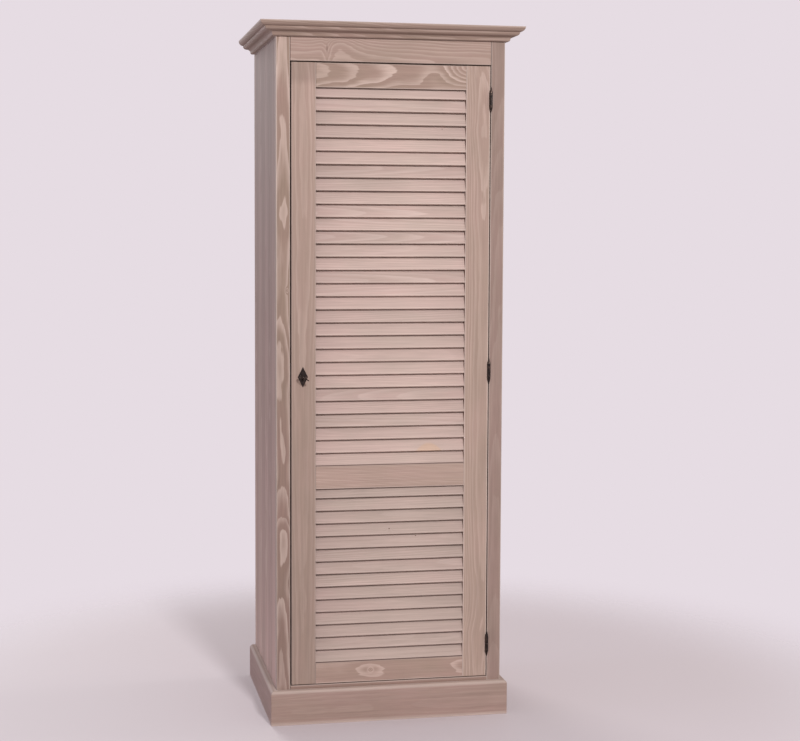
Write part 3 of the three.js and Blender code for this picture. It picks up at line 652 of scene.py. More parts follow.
def sidePanel(side, outwards, seed, s):
    # The rebate for the back and the bottom board's housing are cut into its inner face.
    node = f"side_panel_{side}"
    low, high = corners(node)
    inner = low[0] if outwards > 0 else high[0]
    bottomLow, bottomHigh = corners("bottom_board")
    rebate, back = s["rebate"]
    cutters = []
    for deep, y, z in (
        (rebate, (high[1] - back, high[1] + past), (low[2] - past, high[2] + past)),
        (s["housing"], (low[1] - past, high[1] + past), (bottomLow[2] - seatGap, bottomHigh[2] + seatGap)),
    ):
        x = sorted([inner + outwards * deep, inner - outwards * past])
        cutters.append(block(*zip(x, y, z)))
    ways = (unit[2], unit[1], outwards * unit[0])
    boardPiece(node, "boards", "stained_pine", seed, ways, s["sideEdges"], s["sideStaves"], cutters,
               staveTones=s["sideTones"], light=s["sidePaintedShade"], pink=s["sidePink"])


def bottomBoard(s):
    # It is notched round the two stiles.
    low, high = corners("bottom_board")
    stile = corners("frame_stile_left")[1]
    cutters = []
    for side in (-1, 1):
        x = sorted([side * (-stile[0] - seatGap), side * (high[0] + past)])
        y = (low[1] - past, stile[1] + 2 * seatGap)
        cutters.append(block(*zip(x, y, (low[2] - past, high[2] + past))))
    ways = (unit[0], unit[1], -unit[2])
    boardPiece("bottom_board", "boards", "inner_pine", 31, ways, s["bottomEdges"], s["shelfStaves"], cutters,
               dark=s["bottomDark"])


def backPanel(s):
    # An outline with a V at each joint on both faces, carried up the whole height.
    low, high = corners("back_panel")
    joints = np.arange(1, round((high[0] - low[0]) / s["backBoard"])) * s["backBoard"] + low[0]
    joints += (high[0] - low[0] - s["backBoard"] * (len(joints) + 1)) / 2
    half, depth = s["groove"]
    notch = np.stack([joints - half, joints, joints + half], 1).ravel()
    cut = np.tile([0, depth, 0], len(joints))
    notch = np.r_[low[0], low[0] + s["grooveIn"], notch, high[0] - s["grooveIn"], high[0]]
    cut = np.r_[0, 0, cut, 0, 0]
    front = np.column_stack([notch, low[1] + cut])
    back = np.column_stack([notch[::-1], high[1] - cut])
    outline = np.concatenate([front, back])
    rings = np.stack([np.column_stack([outline, np.full(len(outline), z)]) for z in (low[2], high[2])])
    piece = loft("back_boards", rings, False)
    grain(piece, 41, unit[2], unit[0], unit[1], joints)
    fit(piece, "inner_pine", "carcass", "back_panel")


sidePanel("left", -1, 11, carcassSet)
sidePanel("right", 1, 12, carcassSet)
bottomBoard(carcassSet)
boardPiece("top_board", "boards", "inner_pine", 37, unit, carcassSet["topEdges"], carcassSet["topStaves"])
backPanel(carcassSet)
print("carcass made")


# Face frame: two stiles that run through, and the rail between them

frameSet = {
    "edge": 0.8 * mm,
    "endEdge": 0.25 * mm,
    "easeOff": 0.5 * mm,  # planed off towards the opening
    "railGap": 0.8 * mm,  # the open joint at each end of the rail
    "railEnd": 0.7 * mm,
    "stopEdges": (1.5 * mm, 1.5 * mm),
    "boltRoom": 0.8 * mm,
    "boltHole": 12 * mm,  # how deep the bolt's hole runs behind the strike plate
    "rings": {"left": 110, "right": 0},  # cuts along the stiles, for the grain
    "leafSeat": (1.9 * mm, 20.6 * mm, 25.3 * mm),  # a leaf's recess: deep, back from the front, half height
}
leftStileFlames = [
    (107, 1.5, -299), (150, 1.8, -299), (192, 2.0, -299), (240, 2.2, -298), (300, 2.45, -298),
    (335, 2.8, -298), (349, 3.0, -298), (365, 3.2, -298), (400, 3.25, -298), (454, 3.0, -297),
    (500, 2.76, -297), (537, 3.0, -298), (552, 3.4, -299), (571, 4.0, -300), (605, 4.35, -299),
    (635, 4.7, -298), (660, 5.0, -297), (680, 5.15, -297), (710, 5.12, -297), (745, 4.97, -296),
    (800, 4.93, -299), (850, 4.93, -302), (890, 4.97, -304), (915, 4.92, -304), (940, 4.82, -303),
    (975, 4.7, -302), (1010, 4.72, -302), (1035, 4.86, -304), (1051, 5.0, -305), (1070, 5.35, -305),
    (1090, 5.75, -304), (1107, 6.0, -303), (1150, 6.2, -300), (1250, 6.35, -297), (1347, 6.0, -294),
    (1390, 5.78, -293), (1437, 6.0, -293), (1480, 6.2, -293), (1530, 6.5, -294), (1570, 6.75, -294),
    (1620, 6.9, -294), (1650, 7.0, -296), (1720, 7.3, -298), (1850, 7.7, -298),
]
# The "dark" lists are painted shade: along the left stile's edge at the door's gap, and at the rail's open
# joints and its edge over the door.
frameGrain = {
    "left": {
        "figure": 0.95, "flames": leftStileFlames, "light": [(107, 0.68), (700, 0.74), (1850, 0.92)],
        "pink": [(107, 0), (700, -0.1), (1100, -0.5), (1400, -0.4), (1850, -0.1)],
        "dark": [(1, 1, 0.9, 0.8)], "knots": [(1.186, -0.285, 0.007, 0.0035, 0.006)],
    },
    "right": {"figure": 0.2, "light": (0, 0.665), "pink": (0, 0.25)},
    "rail": {
        "figure": 0.4, "light": (0, 0.85),
        "dark": [(1, -1, 1.6, 0.8), (0, -1, 0.7, 0.9), (0, 1, 0.7, 0.9)],
        "knots": [(-0.14, 1.85, 0.05, 0.03, -0.01), (-0.177, 1.832, 0.011, 0.06, 0.005)],
    },
}


def strikeCut(s):
    # The strike plate's seat in the stile, and the hole for the bolt behind it.
    low, high = corners("strike_plate")
    boltLow, boltHigh = corners("lock_bolt")
    seat = block(low - seatGap, high + [past, seatGap, seatGap])
    hole = block(
        [low[0] - s["boltHole"], *(boltLow[1:] - s["boltRoom"])],
        [low[0] + lap, *(boltHigh[1:] + s["boltRoom"])],
    )
    return combined(seat, hole, "UNION")


def leafCuts(stile, side, s):
    # The recesses for one stile's three leaves. Side is +1 where the stile lies to the right of the joint.
    edge = corners("frame_stile_right")[0][0] if side > 0 else corners("door_stile_hinge_side")[1][0]
    deep, back, half = s["leafSeat"]
    x = sorted([edge + side * deep, edge - side * past])
    for height in hingeHeights:
        z = sum(corners(f"hinge_{height}_pin"))[2] / 2
        stile = combined(stile, block([x[0], frontY - past, z - half], [x[1], frontY + back, z + half]))
    return stile


def frameStiles(s):
    # The left stile takes the strike plate, the right one the hinges' leaves.
    for side, seed in (("left", 51), ("right", 52)):
        node = f"frame_stile_{side}"
        low, high = corners(node)
        high[0] -= s["easeOff"] * (side == "left")
        stile = board(node + "_board", low, high, 2, s["edge"], s["endEdge"], cuts=s["rings"][side])
        stile = combined(stile, strikeCut(s)) if side == "left" else leafCuts(stile, 1, s)
        grain(stile, seed, *upFront, **frameGrain[side])
        fit(stile, "stained_pine", "carcass", node)


def topRail(s):
    # It ends a little short of the stiles, so that its joints show. The door's stop hangs behind it.
    low, high = corners("frame_rail_top")
    low[2] += s["easeOff"]
    low[0] = corners("frame_stile_left")[1][0] - s["easeOff"] + s["railGap"]
    high[0] = corners("frame_stile_right")[0][0] - s["railGap"]
    rail = board("frame_rail_top_board", low, high, 0, s["edge"], s["railEnd"])
    grain(rail, 53, *acrossFront, **frameGrain["rail"])
    fit(rail, "stained_pine", "carcass", "frame_rail_top")
    boardPiece("door_stop", "board", "inner_pine", 54, acrossFront, s["stopEdges"])


frameStiles(frameSet)
topRail(frameSet)
print("face frame made")


# Cornice and plinth: mitred runs of a moulded outline, drawn as (out from the carcass, up)

mouldSet = {
    "foot": 7,  # mm, like all the sizes here; the cornice's parts follow from the bottom up
    "bead": (4.5, 4.5), "hollow": (10.5, 9), "round": (11, 8), "fillet": (0.5, 2.5), "ovolo": (12.5, 14),
    "plinthRound": 10, "plinthEase": 1, "mitre": 0.5, "seat": 0.3, "steps": 9,
    "markIn": 3,  # how far in from an edge an extra point keeps its pale strip (rubbed stain and painted highlight) narrow
    "smoothUnder": 3,  # a side of the outline shorter than this is part of a curve
    "sharp": 34,  # degrees
    # Per moulding: lightness, the side runs' lightness as a share of the front's (below 1 on the plinth:
    # painted shade), pinkness, flames' strength, and how far in the pale edge reaches (on the plinth's top: a
    # painted highlight).
    "cornice": {"light": 0.75, "sides": 1, "pink": -0.25, "figure": 0.42, "edge": 1},
    "plinth": {"light": 0.8, "sides": 0.88, "pink": 0.3, "figure": 0.12, "edge": 8},
}


def quarterCurve(centre, halfWide, halfHigh, start, finish, steps):
    # Part of an ellipse round a centre, between two angles in degrees.
    angle = np.radians(np.linspace(start, finish, steps + 1))
    return np.array(centre) + np.stack([halfWide * np.cos(angle), halfHigh * np.sin(angle)], 1)


def corniceOutline(s):
    # From the bottom up: bead, hollow, round, fillet and ovolo, all but the fillet a quarter of an ellipse.
    out, rise = s["foot"], 0
    parts = [[(s["seat"], 0)]]
    for part in ("bead", "hollow", "round", "fillet", "ovolo"):
        wide, high = s[part]
        if part == "fillet":
            parts.append([(out, rise + high), (out + wide, rise + high)])
        elif part == "hollow":
            parts.append(quarterCurve((out + wide, rise), wide, high, 180, 90, s["steps"]))
        else:
            parts.append(quarterCurve((out, rise + high), wide, high, -90, 0, s["steps"]))
        out, rise = out + wide, rise + high
    parts.append([(out - s["markIn"], rise), (s["seat"] + s["markIn"], rise), (s["seat"], rise)])
    outline = np.concatenate([np.asarray(part, float) for part in parts])
    doubled = np.linalg.norm(outline - np.roll(outline, 1, 0), axis=1) < 0.001
    return outline[~doubled] * mm


def plinthOutline(height, thickness, s):
    # From the floor up: an eased foot, the flat face and a quarter round.
    r, ease, inner = s["plinthRound"], s["plinthEase"], s["seat"]
    foot = quarterCurve((thickness - ease, ease), ease, ease, -90, 0, 3)
    curve = quarterCurve((thickness - r, height - r), r, r, 0, 90, s["steps"])
    mark = [(thickness, s["plinth"]["edge"] + s["markIn"])]
    top = [(inner + s["markIn"], height), (inner, height)]
    return np.concatenate([[(inner, 0)], foot, mark, curve, top]) * mm


def mouldings(kind, outline, baseZ, seed, s):
    # The front run reaches past the carcass by as much as each point stands out; the side runs
    # start as much before it. That is the mitre.
    look = s[kind]
    corner = corners("frame_stile_left")[0]
    half, backY = -corner[0], corners("side_panel_left")[1][1]
    gap = s["mitre"] * mm / 2
    out, up = outline[:, 0], outline[:, 1] + baseZ
    reach = half + out - gap
    front = np.stack([np.stack([x, corner[1] - out, up], 1) for x in (reach, -reach)])
    runs = [("front", front, unit[0], -unit[1])]
    for name, side in (("left", -1), ("right", 1)):
        ends = (corner[1] + gap - out, np.full(len(out), backY))
        rings = np.stack([np.stack([side * (half + out), y, up], 1) for y in ends])
        runs.append((name, rings[::-side], unit[1], side * unit[0]))
    curved = np.linalg.norm(np.roll(outline, -1, 0) - outline, axis=1) < s["smoothUnder"] * mm
    for i, (name, rings, along, outwards) in enumerate(runs):
        piece = loft(f"{kind}_{name}_moulding", rings, curved)
        smooth = np.array([face.use_smooth for face in piece.data.polygons])
        # The side runs' share of lightness: below 1 on the plinth, as painted shade.
        light = look["light"] * (look["sides"] if i else 1)
        grain(piece, seed + i, along, unit[2], outwards, light=(0, light), pink=(0, look["pink"]),
              figure=look["figure"], edge=look["edge"])
        piece.data.polygons.foreach_set("use_smooth", smooth)
        piece.data.set_sharp_from_angle(angle=math.radians(s["sharp"]))
        fit(piece, "stained_pine", "carcass", f"{kind}_{name}")


corniceLow, corniceHigh = corners("cornice_front")
plinthLow, plinthHigh = corners("plinth_front")
mouldings("cornice", corniceOutline(mouldSet), corniceLow[2], 61, mouldSet)
plinthThick = (frontY - plinthLow[1]) / mm
mouldings("plinth", plinthOutline(plinthHigh[2] / mm, plinthThick, mouldSet), 0, 165, mouldSet)
print("mouldings made")


# Shelves on screwed cleats

shelfSet = {"count": 4, "edges": (1.5 * mm, 0.6 * mm), "cleatEdges": (1.2 * mm, 1.2 * mm)}

for number in range(1, shelfSet["count"] + 1):
    staves = np.roll(carcassSet["shelfStaves"], number)
    boardPiece(f"shelf_{number}", "boards", "inner_pine", 70 + number, unit, shelfSet["edges"], staves)
    for side in ("left", "right"):
        seed = 80 + 2 * number + (side == "left")
        node = f"shelf_cleat_{number}_{side}"
        boardPiece(node, "bar", "inner_pine", seed, np.roll(unit, -1, 0), shelfSet["cleatEdges"])
print("shelves made")


# Door

doorSet = {
    "edge": 0.8 * mm,
    "endEdge": 0.25 * mm,
    "slatWide": 42 * mm,
    "slatThick": 7 * mm,
    "slatRound": 2.5 * mm,
    "slatSetIn": 1 * mm,  # from the door's faces
    "slotDepth": 9 * mm,
    "topShow": 28 * mm,  # what shows of the ripped slat under each rail, and of that above one
    "bottomShow": 33 * mm,
    "upper": 29,
    "lower": 14,
    "rings": {"stile": 80, "rail": 40, "slat": 13},  # cuts along each, for the grain
    "slatMarks": np.linspace(-13, 13, 9) * mm,  # points across a slat, and in from its edges
    "slatMarkIn": 4 * mm,
    "slatPith": ((-0.07, 0.07), (0.03, 0.09)),  # m, the pith's place aside of a slat and behind it
    "slatFigure": (0.08, 0.28),
    "slatSpread": (0.96, 1.04),
    "slatLight": {"upper_slat": 0.98, "lower_slat": 0.88},
    "slatPink": {"upper_slat": 0.0, "lower_slat": -0.4},
    # mm along, and the lightness and pinkness of all slats there
    "slatAlong": ((-200, 0.9, 0.5), (-140, 0.98, 0.15), (60, 1.03, -0.15), (200, 0.98, 0.1)),
    "slatDark": [(1, -1, 2.5, 0.8)],  # painted shade at the foot of a bank's last slat, where it meets the rail
    # Painted shade along the rails' edges where the slats meet them.
    "railDark": [(1, 1, 1.6, 0.85), (1, -1, 1.0, 0.75)],
}
doorThick = np.ptp(corners("door_rail_top"), axis=0)[1]
# The slats lean so far that width times sine and thickness times cosine together fill the door.
run = doorThick - 2 * doorSet["slatSetIn"]
lean = math.asin(run / math.hypot(doorSet["slatWide"], doorSet["slatThick"]))
lean -= math.atan2(doorSet["slatThick"], doorSet["slatWide"])
wideWay = np.array([0, math.sin(lean), math.cos(lean)])  # up the slat, and out of its face
thickWay = np.array([0, math.cos(lean), -math.sin(lean)])
stileLow, stileHigh = corners("door_stile_hinge_side")
louvreHalf = corners("louvre_slat_05")[1][0] - doorSet["slotDepth"] + seatGap
slatMiddleY = frontY + doorThick / 2


def slatOutline(s, grow=0.0):
    # A rounded rectangle whose wide side leans back, in (y, z) about its own middle.
    wide, thick, radius = s["slatWide"] / 2 + grow, s["slatThick"] / 2 + grow, s["slatRound"] + grow
    outline, _ = boardOutline(wide, thick, radius, s["slatMarks"], s["slatMarkIn"], 5)
    return outline @ np.array([wideWay[1:], thickWay[1:]])


def clipped(outline, limit, side):
    # The part of a closed outline below (side 1) or above (side -1) a height.
    height = side * (limit - outline[:, 1])
    following = np.roll(outline, -1, 0)
    nextHeight = np.roll(height, -1)
    crossed = np.flatnonzero((height >= 0) != (nextHeight >= 0))
    share = (height[crossed] / (height[crossed] - nextHeight[crossed]))[:, None]
    cuts = outline[crossed] + share * (following[crossed] - outline[crossed])
    kept = np.flatnonzero(height >= 0)
    order = np.argsort(np.concatenate([kept, crossed + 0.5]))
    return np.concatenate([outline[kept], cuts])[order]


def bank(count, low, high, s, grow=0.0):
    # The slats' outlines from the top down, each with its middle height, ripped at the opening.
    rise = s["slatWide"] * wideWay[2] + s["slatThick"] * wideWay[1]
    pitch = (high - low - s["topShow"] - s["bottomShow"]) / (count - 2)
    outline = slatOutline(s, grow)
    made = []
    for i in range(count):
        middle = high - s["topShow"] - i * pitch + rise / 2
        own = outline
        if low + seatGap - middle > -rise / 2:
            own = clipped(outline, low + seatGap - grow - middle, -1)
        if high - seatGap - middle < rise / 2:
            own = clipped(outline, high - seatGap + grow - middle, 1)
        made.append((own, middle))
    return made


def slatLoft(name, outline, middle, x0, x1, cuts=0):
    # An outline carried from x0 to x1, with further rings between.
    rings = np.empty((cuts + 2, len(outline), 3))
    rings[:, :, 0] = np.linspace(x0, x1, cuts + 2)[:, None]
    rings[:, :, 1] = slatMiddleY + outline[:, 0]
    rings[:, :, 2] = middle + outline[:, 1]
    return loft(name, rings[:, ::-1])


topRailFlames = [
    (-207, 0.65, 1776), (-185, 0.85, 1776), (-168, 1.0, 1776), (-150, 1.15, 1776), (-130, 1.3, 1775),
    (-112, 1.6, 1775), (-95, 1.85, 1774), (-85, 2.0, 1774), (-70, 2.15, 1774), (-40, 2.35, 1774),
    (-10, 2.65, 1775), (15, 2.9, 1776), (30, 3.0, 1776), (50, 3.1, 1775), (100, 3.25, 1775),
    (150, 3.3, 1775), (207, 3.4, 1775),
]
bottomRailFlames = [(-207, 1.35, 136), (0, 1.28, 137), (207, 1.3, 137)]
lockStileFlames = [
    (107, 4.3, -240), (280, 4.0, -240), (300, 3.95, -240), (450, 3.7, -240), (600, 3.45, -242),
    (800, 3.2, -244), (960, 3.0, -244), (1000, 2.9, -243), (1100, 2.6, -242), (1200, 2.3, -241),
    (1330, 2.0, -240), (1380, 1.92, -240), (1500, 1.7, -241), (1600, 1.6, -242), (1700, 1.85, -243),
    (1742, 2.0, -244), (1795, 2.25, -246),
]
hingeStileFlames = [
    (107, 4.6, 252), (219, 4.0, 254), (240, 3.9, 256), (265, 4.0, 262), (300, 4.2, 264),
    (450, 3.7, 262), (700, 3.4, 258), (850, 3.3, 258), (1000, 3.5, 258), (1250, 3.4, 260),
    (1350, 3.15, 260), (1400, 3.0, 260), (1500, 2.6, 261), (1573, 2.0, 261), (1622, 1.75, 260),
    (1655, 2.0, 260), (1700, 2.2, 258), (1750, 2.6, 254), (1795, 3.2, 247),
]
railGrain = {
    "bottom": {
        "figure": 0.6, "light": (0, 0.92), "pink": (0, -0.2), "flames": bottomRailFlames, "innerRings": 200,
        "knots": [
            (-0.0538, 0.1397, 0.034, 0.0165, -0.004), (-0.0538, 0.1397, 0.0075, 0.006, 0.0055),
            (0.21, 0.137, 0.034, 0.017, -0.0036),
        ],
    },
    "middle": {"figure": 0.6, "light": (0, 0.94), "pith": (0.15, 0.05), "climb": 0.006},
    "top": {
        "figure": 0.8, "light": (0, 0.88), "flames": topRailFlames, "innerRings": 60,
        "knots": [(0.122, 1.762, 0.042, 0.022, 0.0034), (0.22, 1.8, 0.055, 0.038, -0.017)],
    },
}
# The stiles' "dark" lists are painted shade: in the gaps round the door, and where the slats meet the stiles.
lockStileGrain = {
    "figure": 0.25, "flames": lockStileFlames,
    "light": [(107, 0.72), (700, 0.77), (1650, 0.89), (1732, 0.89), (1752, 0.74), (1795, 0.74)],
    "pink": [(107, -0.4), (900, -0.2), (1600, 0)], "dark": [(1, -1, 1.6, 0.9), (1, 1, 1.2, 0.6)],
}
hingeStileGrain = {
    "figure": 0.35, "flames": hingeStileFlames, "light": (0, 0.9),
    "pink": [(107, -0.45), (900, -0.3), (1500, 0)], "dark": [(1, -1, 0.4, 0.35)],
    "knots": [(0.2625, 0.451, 0.012, 0.006, 0.008), (0.258, 0.7954, 0.012, 0.006, 0.004)],
}
railBoxes = {name: corners(f"door_rail_{name}") for name in ("bottom", "middle", "top")}
openings = {
    "lower": (railBoxes["bottom"][1][2], railBoxes["middle"][0][2]),
    "upper": (railBoxes["middle"][1][2], railBoxes["top"][0][2]),
}


def slotCutter(side, s):
    # All the slots of one stile as one cutter, each a slat grown by the gap.
    x = sorted([side * (louvreHalf + s["slotDepth"]), side * (louvreHalf - past)])
    slats = [slat for name in openings for slat in bank(s[name], *openings[name], s, seatGap)]
    return gathered("slots", [slatLoft("slot", *slat, *x) for slat in slats])


def keyholeCutter(y0, y1, s):
    # A round hole with a slot for the bit below it.
    x, _, z = keyPlace
    barrel = turned("keyhole", (x, y0, z), unit[1], [(0, s["hole"]), (y1 - y0, s["hole"])])
    slot = block([x - s["slot"] / 2, y0, z - s["slotFoot"]], [x + s["slot"] / 2, y1, z])
    return combined(barrel, slot, "UNION")


lockSet = {
    "hole": 3.4 * mm, "slot": 3.4 * mm, "slotFoot": 9.9 * mm, "forend": 2 * mm,
    "overhang": 9 * mm,  # how far the forend reaches past the case, up and down
}
keyPlace = np.mean(corners("escutcheon"), axis=0)
keyPlace[1] = frontY


def lockCuts(stile, s):
    # A pocket for the case, a seat for its forend, and the keyhole.
    low, high = corners("lock_case")
    inner = low[0] + s["forend"]
    pocket = block(
        [inner - lap, low[1] - seatGap, low[2] + s["overhang"] - seatGap],
        [high[0] + seatGap, high[1] + past, high[2] - s["overhang"] + seatGap],
    )
    seat = block([low[0] - past, *(low[1:] - seatGap)], [inner + seatGap, high[1] + past, high[2] + seatGap])
    stile = combined(stile, combined(pocket, seat, "UNION"))
    return combined(stile, keyholeCutter(frontY - past, low[1] + lap, s))


def doorStile(name, side, seed, look, s):
    # The hinge side's box, mirrored for the lock side, with the slats' slots and the ironware's seats.
    low, high = np.sort([stileLow * (side, 1, 1), stileHigh * (side, 1, 1)], axis=0)
    stile = board(name, low, high, 2, s["edge"], s["edge"], cuts=s["rings"]["stile"])
    stile = combined(stile, slotCutter(side, s))
    stile = leafCuts(stile, -1, frameSet) if side > 0 else lockCuts(stile, lockSet)
    grain(stile, seed, *upFront, **look)
    return stile


comb = "door_stile_lock_side_with_upper_louvres"
fit(doorStile("door_stile_lock_side", -1, 91, lockStileGrain, doorSet), "stained_pine", "door", comb)
hingeStile = doorStile("door_stile_hinge_side_board", 1, 92, hingeStileGrain, doorSet)
fit(hingeStile, "stained_pine", "door", "door_stile_hinge_side")

railLook = [doorSet["edge"], doorSet["endEdge"], (), doorSet["rings"]["rail"]]
for order, (name, (low, high)) in enumerate(railBoxes.items()):
    low, high = low.copy(), high.copy()
    low[0], high[0] = seatGap - louvreHalf, louvreHalf - seatGap
    node = f"door_rail_{name}"
    rail = board(node + "_board", low, high, 0, *railLook)
    grain(rail, 94 + order, *acrossFront, dark=doorSet["railDark"], **railGrain[name])
    fit(rail, "stained_pine", "door", node)


# Small knots, by slat: place along, place up the slat from its middle, half length, half width and swell.
slatKnots = {
    ("upper_slat", 26): [(0.126, 0.006, 0.014, 0.012, -0.003), (0.142, 0.007, 0.012, 0.009, 0.0052)],
    ("upper_slat", 18): [(-0.02, 0.004, 0.1, 0.012, -0.0012)],
    ("upper_slat", 5): [(-0.15, 0.008, 0.04, 0.011, -0.003)],
    ("upper_slat", 3): [(-0.1, 0.0, 0.09, 0.012, -0.002)],
    ("lower_slat", 11): [(-0.0017, -0.0055, 0.01, 0.007, 0.0065)],
    ("lower_slat", 10): [(0.0737, 0.008, 0.01, 0.007, 0.0065)],
    ("lower_slat", 14): [(-0.13, 0.0, 0.02, 0.012, -0.003), (-0.03, 0.002, 0.02, 0.01, -0.002)],
}
slatResin = {("upper_slat", 2): [(0.108, -0.021, 0.038, 0.025, 0.5)]}


def slatPieces(bankName, seed, s):
    # Each slat comes from a log of its own, and all are a little darker at their left ends.
    label = bankName + "_slat"
    count = s[bankName]
    end = louvreHalf + s["slotDepth"] - seatGap
    chance = np.random.default_rng(seed)
    place, lightness, pinkness = np.array(s["slatAlong"]).T
    for i, (outline, middle) in enumerate(bank(count, *openings[bankName], s)):
        number = count - i
        slat = slatLoft(f"{label}_{number:02d}", outline, middle, -end, end, s["rings"]["slat"])
        centreLine = wideWay @ (0, slatMiddleY, middle)
        knots, resin = (
            [(x, up + centreLine, *sizes) for x, up, *sizes in spots.get((label, number), ())]
            for spots in (slatKnots, slatResin)
        )
        pith = [chance.uniform(*reach) for reach in s["slatPith"]]
        figure = chance.uniform(*s["slatFigure"])
        light = np.column_stack([place, s["slatLight"][label] * chance.uniform(*s["slatSpread"]) * lightness])
        pink = np.column_stack([place, s["slatPink"][label] + pinkness])
        grain(slat, seed + number, unit[0], wideWay, -thickWay, pith=pith, edge=s["slatRound"] / mm,
              figure=figure, light=light, pink=pink, dark=s["slatDark"] if number == 1 else (),
              knots=knots, resin=resin)
        fit(slat, "louvre_pine", "door", comb if bankName == "upper" else f"louvre_slat_{number:02d}")


slatPieces("upper", 200, doorSet)
slatPieces("lower", 300, doorSet)
print("door made")


# Screws with a cross recess

screwSet = {
    "rim": 0.3 * mm,  # the head's rounded rim
    "arm": 0.62,  # the cross's half length and half width, as shares of the head's radius
    "bar": 0.13,
    "sunk": 0.6 * mm,
    "turns": (0.3, 1.1, 0.7, 1.4),  # radians, so that neighbours differ
    "cleat": (3.2 * mm, 0.9 * mm),  # radius and height of each kind's head
    "leaf": (1.95 * mm, 1.1 * mm),
    "lock": (2.6 * mm, 0.5 * mm),
    "cleatPlaces": (0.1, 0.5, 0.9),
}


def screwHead(radius, height, s):
    # A flat head with a softly rounded rim, and a cross sunk into it.
    angle = np.radians(np.linspace(0, 90, 5))
    rim = np.column_stack([height - s["rim"] * (1 - np.sin(angle)), radius - s["rim"] * (1 - np.cos(angle))])
    head = turned("screw", (0, 0, 0), unit[2], [(0, radius), *rim.tolist()], 20)
    foot, top = height - s["sunk"], height + lap
    arm, half = radius * s["arm"], radius * s["bar"]
    bars = [block([-x, -y, foot], [x, y, top]) for x, y in ((arm, half), (half, arm))]
    return combined(head, combined(*bars, "UNION"))


def screws(name, kind, places, axis, slot, body, s):
    # Heads of one kind, turned from their own upright on to the axis.
    head = screwHead(*s[kind], s)
    toAxis = Vector((0, 0, 1)).rotation_difference(Vector(axis)).to_matrix().to_4x4()
    turns = [Matrix.Rotation(turn, 4, "Z") for turn in s["turns"]]
    copies = [
        placedCopy(head, "screw", Matrix.Translation(place) @ toAxis @ turns[i % len(turns)])
        for i, place in enumerate(places)
    ]
    bpy.data.objects.remove(head)
    fit(gathered(name, copies), slot, body)


for number in range(1, shelfSet["count"] + 1):
    for side, way in (("left", 1), ("right", -1)):
        low, high = corners(f"shelf_cleat_{number}_{side}")
        face = high[0] if way > 0 else low[0]
        height = (low[2] + high[2]) / 2
        places = [(face, low[1] + share * (high[1] - low[1]), height) for share in screwSet["cleatPlaces"]]
        name = f"cleat_screws_{number}_{side}"
        screws(name, "cleat", places, (way, 0, 0), "plain_steel", "carcass", screwSet)


# Hinges: one half is a turned knuckle with a pointed end, a neck and a leaf with two holes

hingeSet = {
    "radius": 4.5 * mm, "knuckle": 20.25 * mm, "gap": 0.5 * mm, "finial": 16 * mm, "taper": 0.8,
    "ease": 0.4 * mm,  # at the knuckle's inner end
    "grooveAt": 2.4 * mm,  # a turned groove this far below the point's foot, so wide and deep
    "groove": 0.5 * mm,
    "bore": 2.5 * mm, "boreDepth": 15.6 * mm,
    "leafStart": 5.1 * mm, "leafDepth": 20 * mm, "leafHalf": 25 * mm, "leafRound": 5 * mm,
    "leafIn": 0.85 * mm, "leafThick": 2 * mm, "screw": 2.1 * mm, "screwSpacing": 34 * mm,
    "screwFoot": 1.35 * mm,  # from the leaf's face in to the foot of its screw heads
    "sharp": 30,  # degrees
    "smoothUnder": 2 * mm,  # a side of the leaf's outline shorter than this is part of a curve
}


def hingeHalf(s):
    # Drawn about the barrel's axis at mid height. The end tapers as the remaining share to a power.
    share = np.linspace(0, 0.995, 16)
    point = np.column_stack([s["knuckle"] + share * s["finial"], s["radius"] * (1 - share) ** s["taper"]])
    start, r, ease, cut = s["gap"] / 2, s["radius"], s["ease"], s["groove"]
    ring = s["knuckle"] - s["grooveAt"]
    profile = [(start, r - ease), (start + ease, r), (ring - cut, r), (ring, r - cut), (ring + cut, r)]
    barrel = turned("hinge", (0, 0, 0), unit[2], [*profile, *point.tolist()], 36)
    barrel.data.set_sharp_from_angle(angle=math.radians(s["sharp"]))
    x1, x0 = -s["leafIn"], -s["leafIn"] - s["leafThick"]
    neck = block([x0, 0, start], [x1, s["leafStart"] + lap, s["knuckle"]])
    barrel = combined(barrel, neck, "UNION")
    far, half, corner = s["leafStart"] + s["leafDepth"], s["leafHalf"], s["leafRound"]
    lower = quarterCurve((far - corner, corner - half), corner, corner, -90, 0, 8)
    upper = quarterCurve((far - corner, half - corner), corner, corner, 0, 90, 8)
    outline = np.concatenate([[(s["leafStart"], -half)], lower, upper, [(s["leafStart"], half)]])
    rings = np.stack([np.column_stack([np.full(len(outline), x), outline]) for x in (x0, x1)])
    leaf = loft("leaf", rings, np.linalg.norm(np.roll(outline, -1, 0) - outline, axis=1) < s["smoothUnder"])
    middle = s["leafStart"] + s["leafDepth"] / 2
    for z in (-s["screwSpacing"] / 2, s["screwSpacing"] / 2):
        hole = [(0, s["screw"]), (s["leafThick"] + 2 * lap, s["screw"])]
        leaf = combined(leaf, turned("hole", (x0 - lap, middle, z), unit[0], hole))
    bore = turned("bore", (0, 0, -lap), unit[2], [(0, s["bore"]), (s["boreDepth"] + lap, s["bore"])])
    return combined(combined(barrel, leaf, "UNION"), bore)


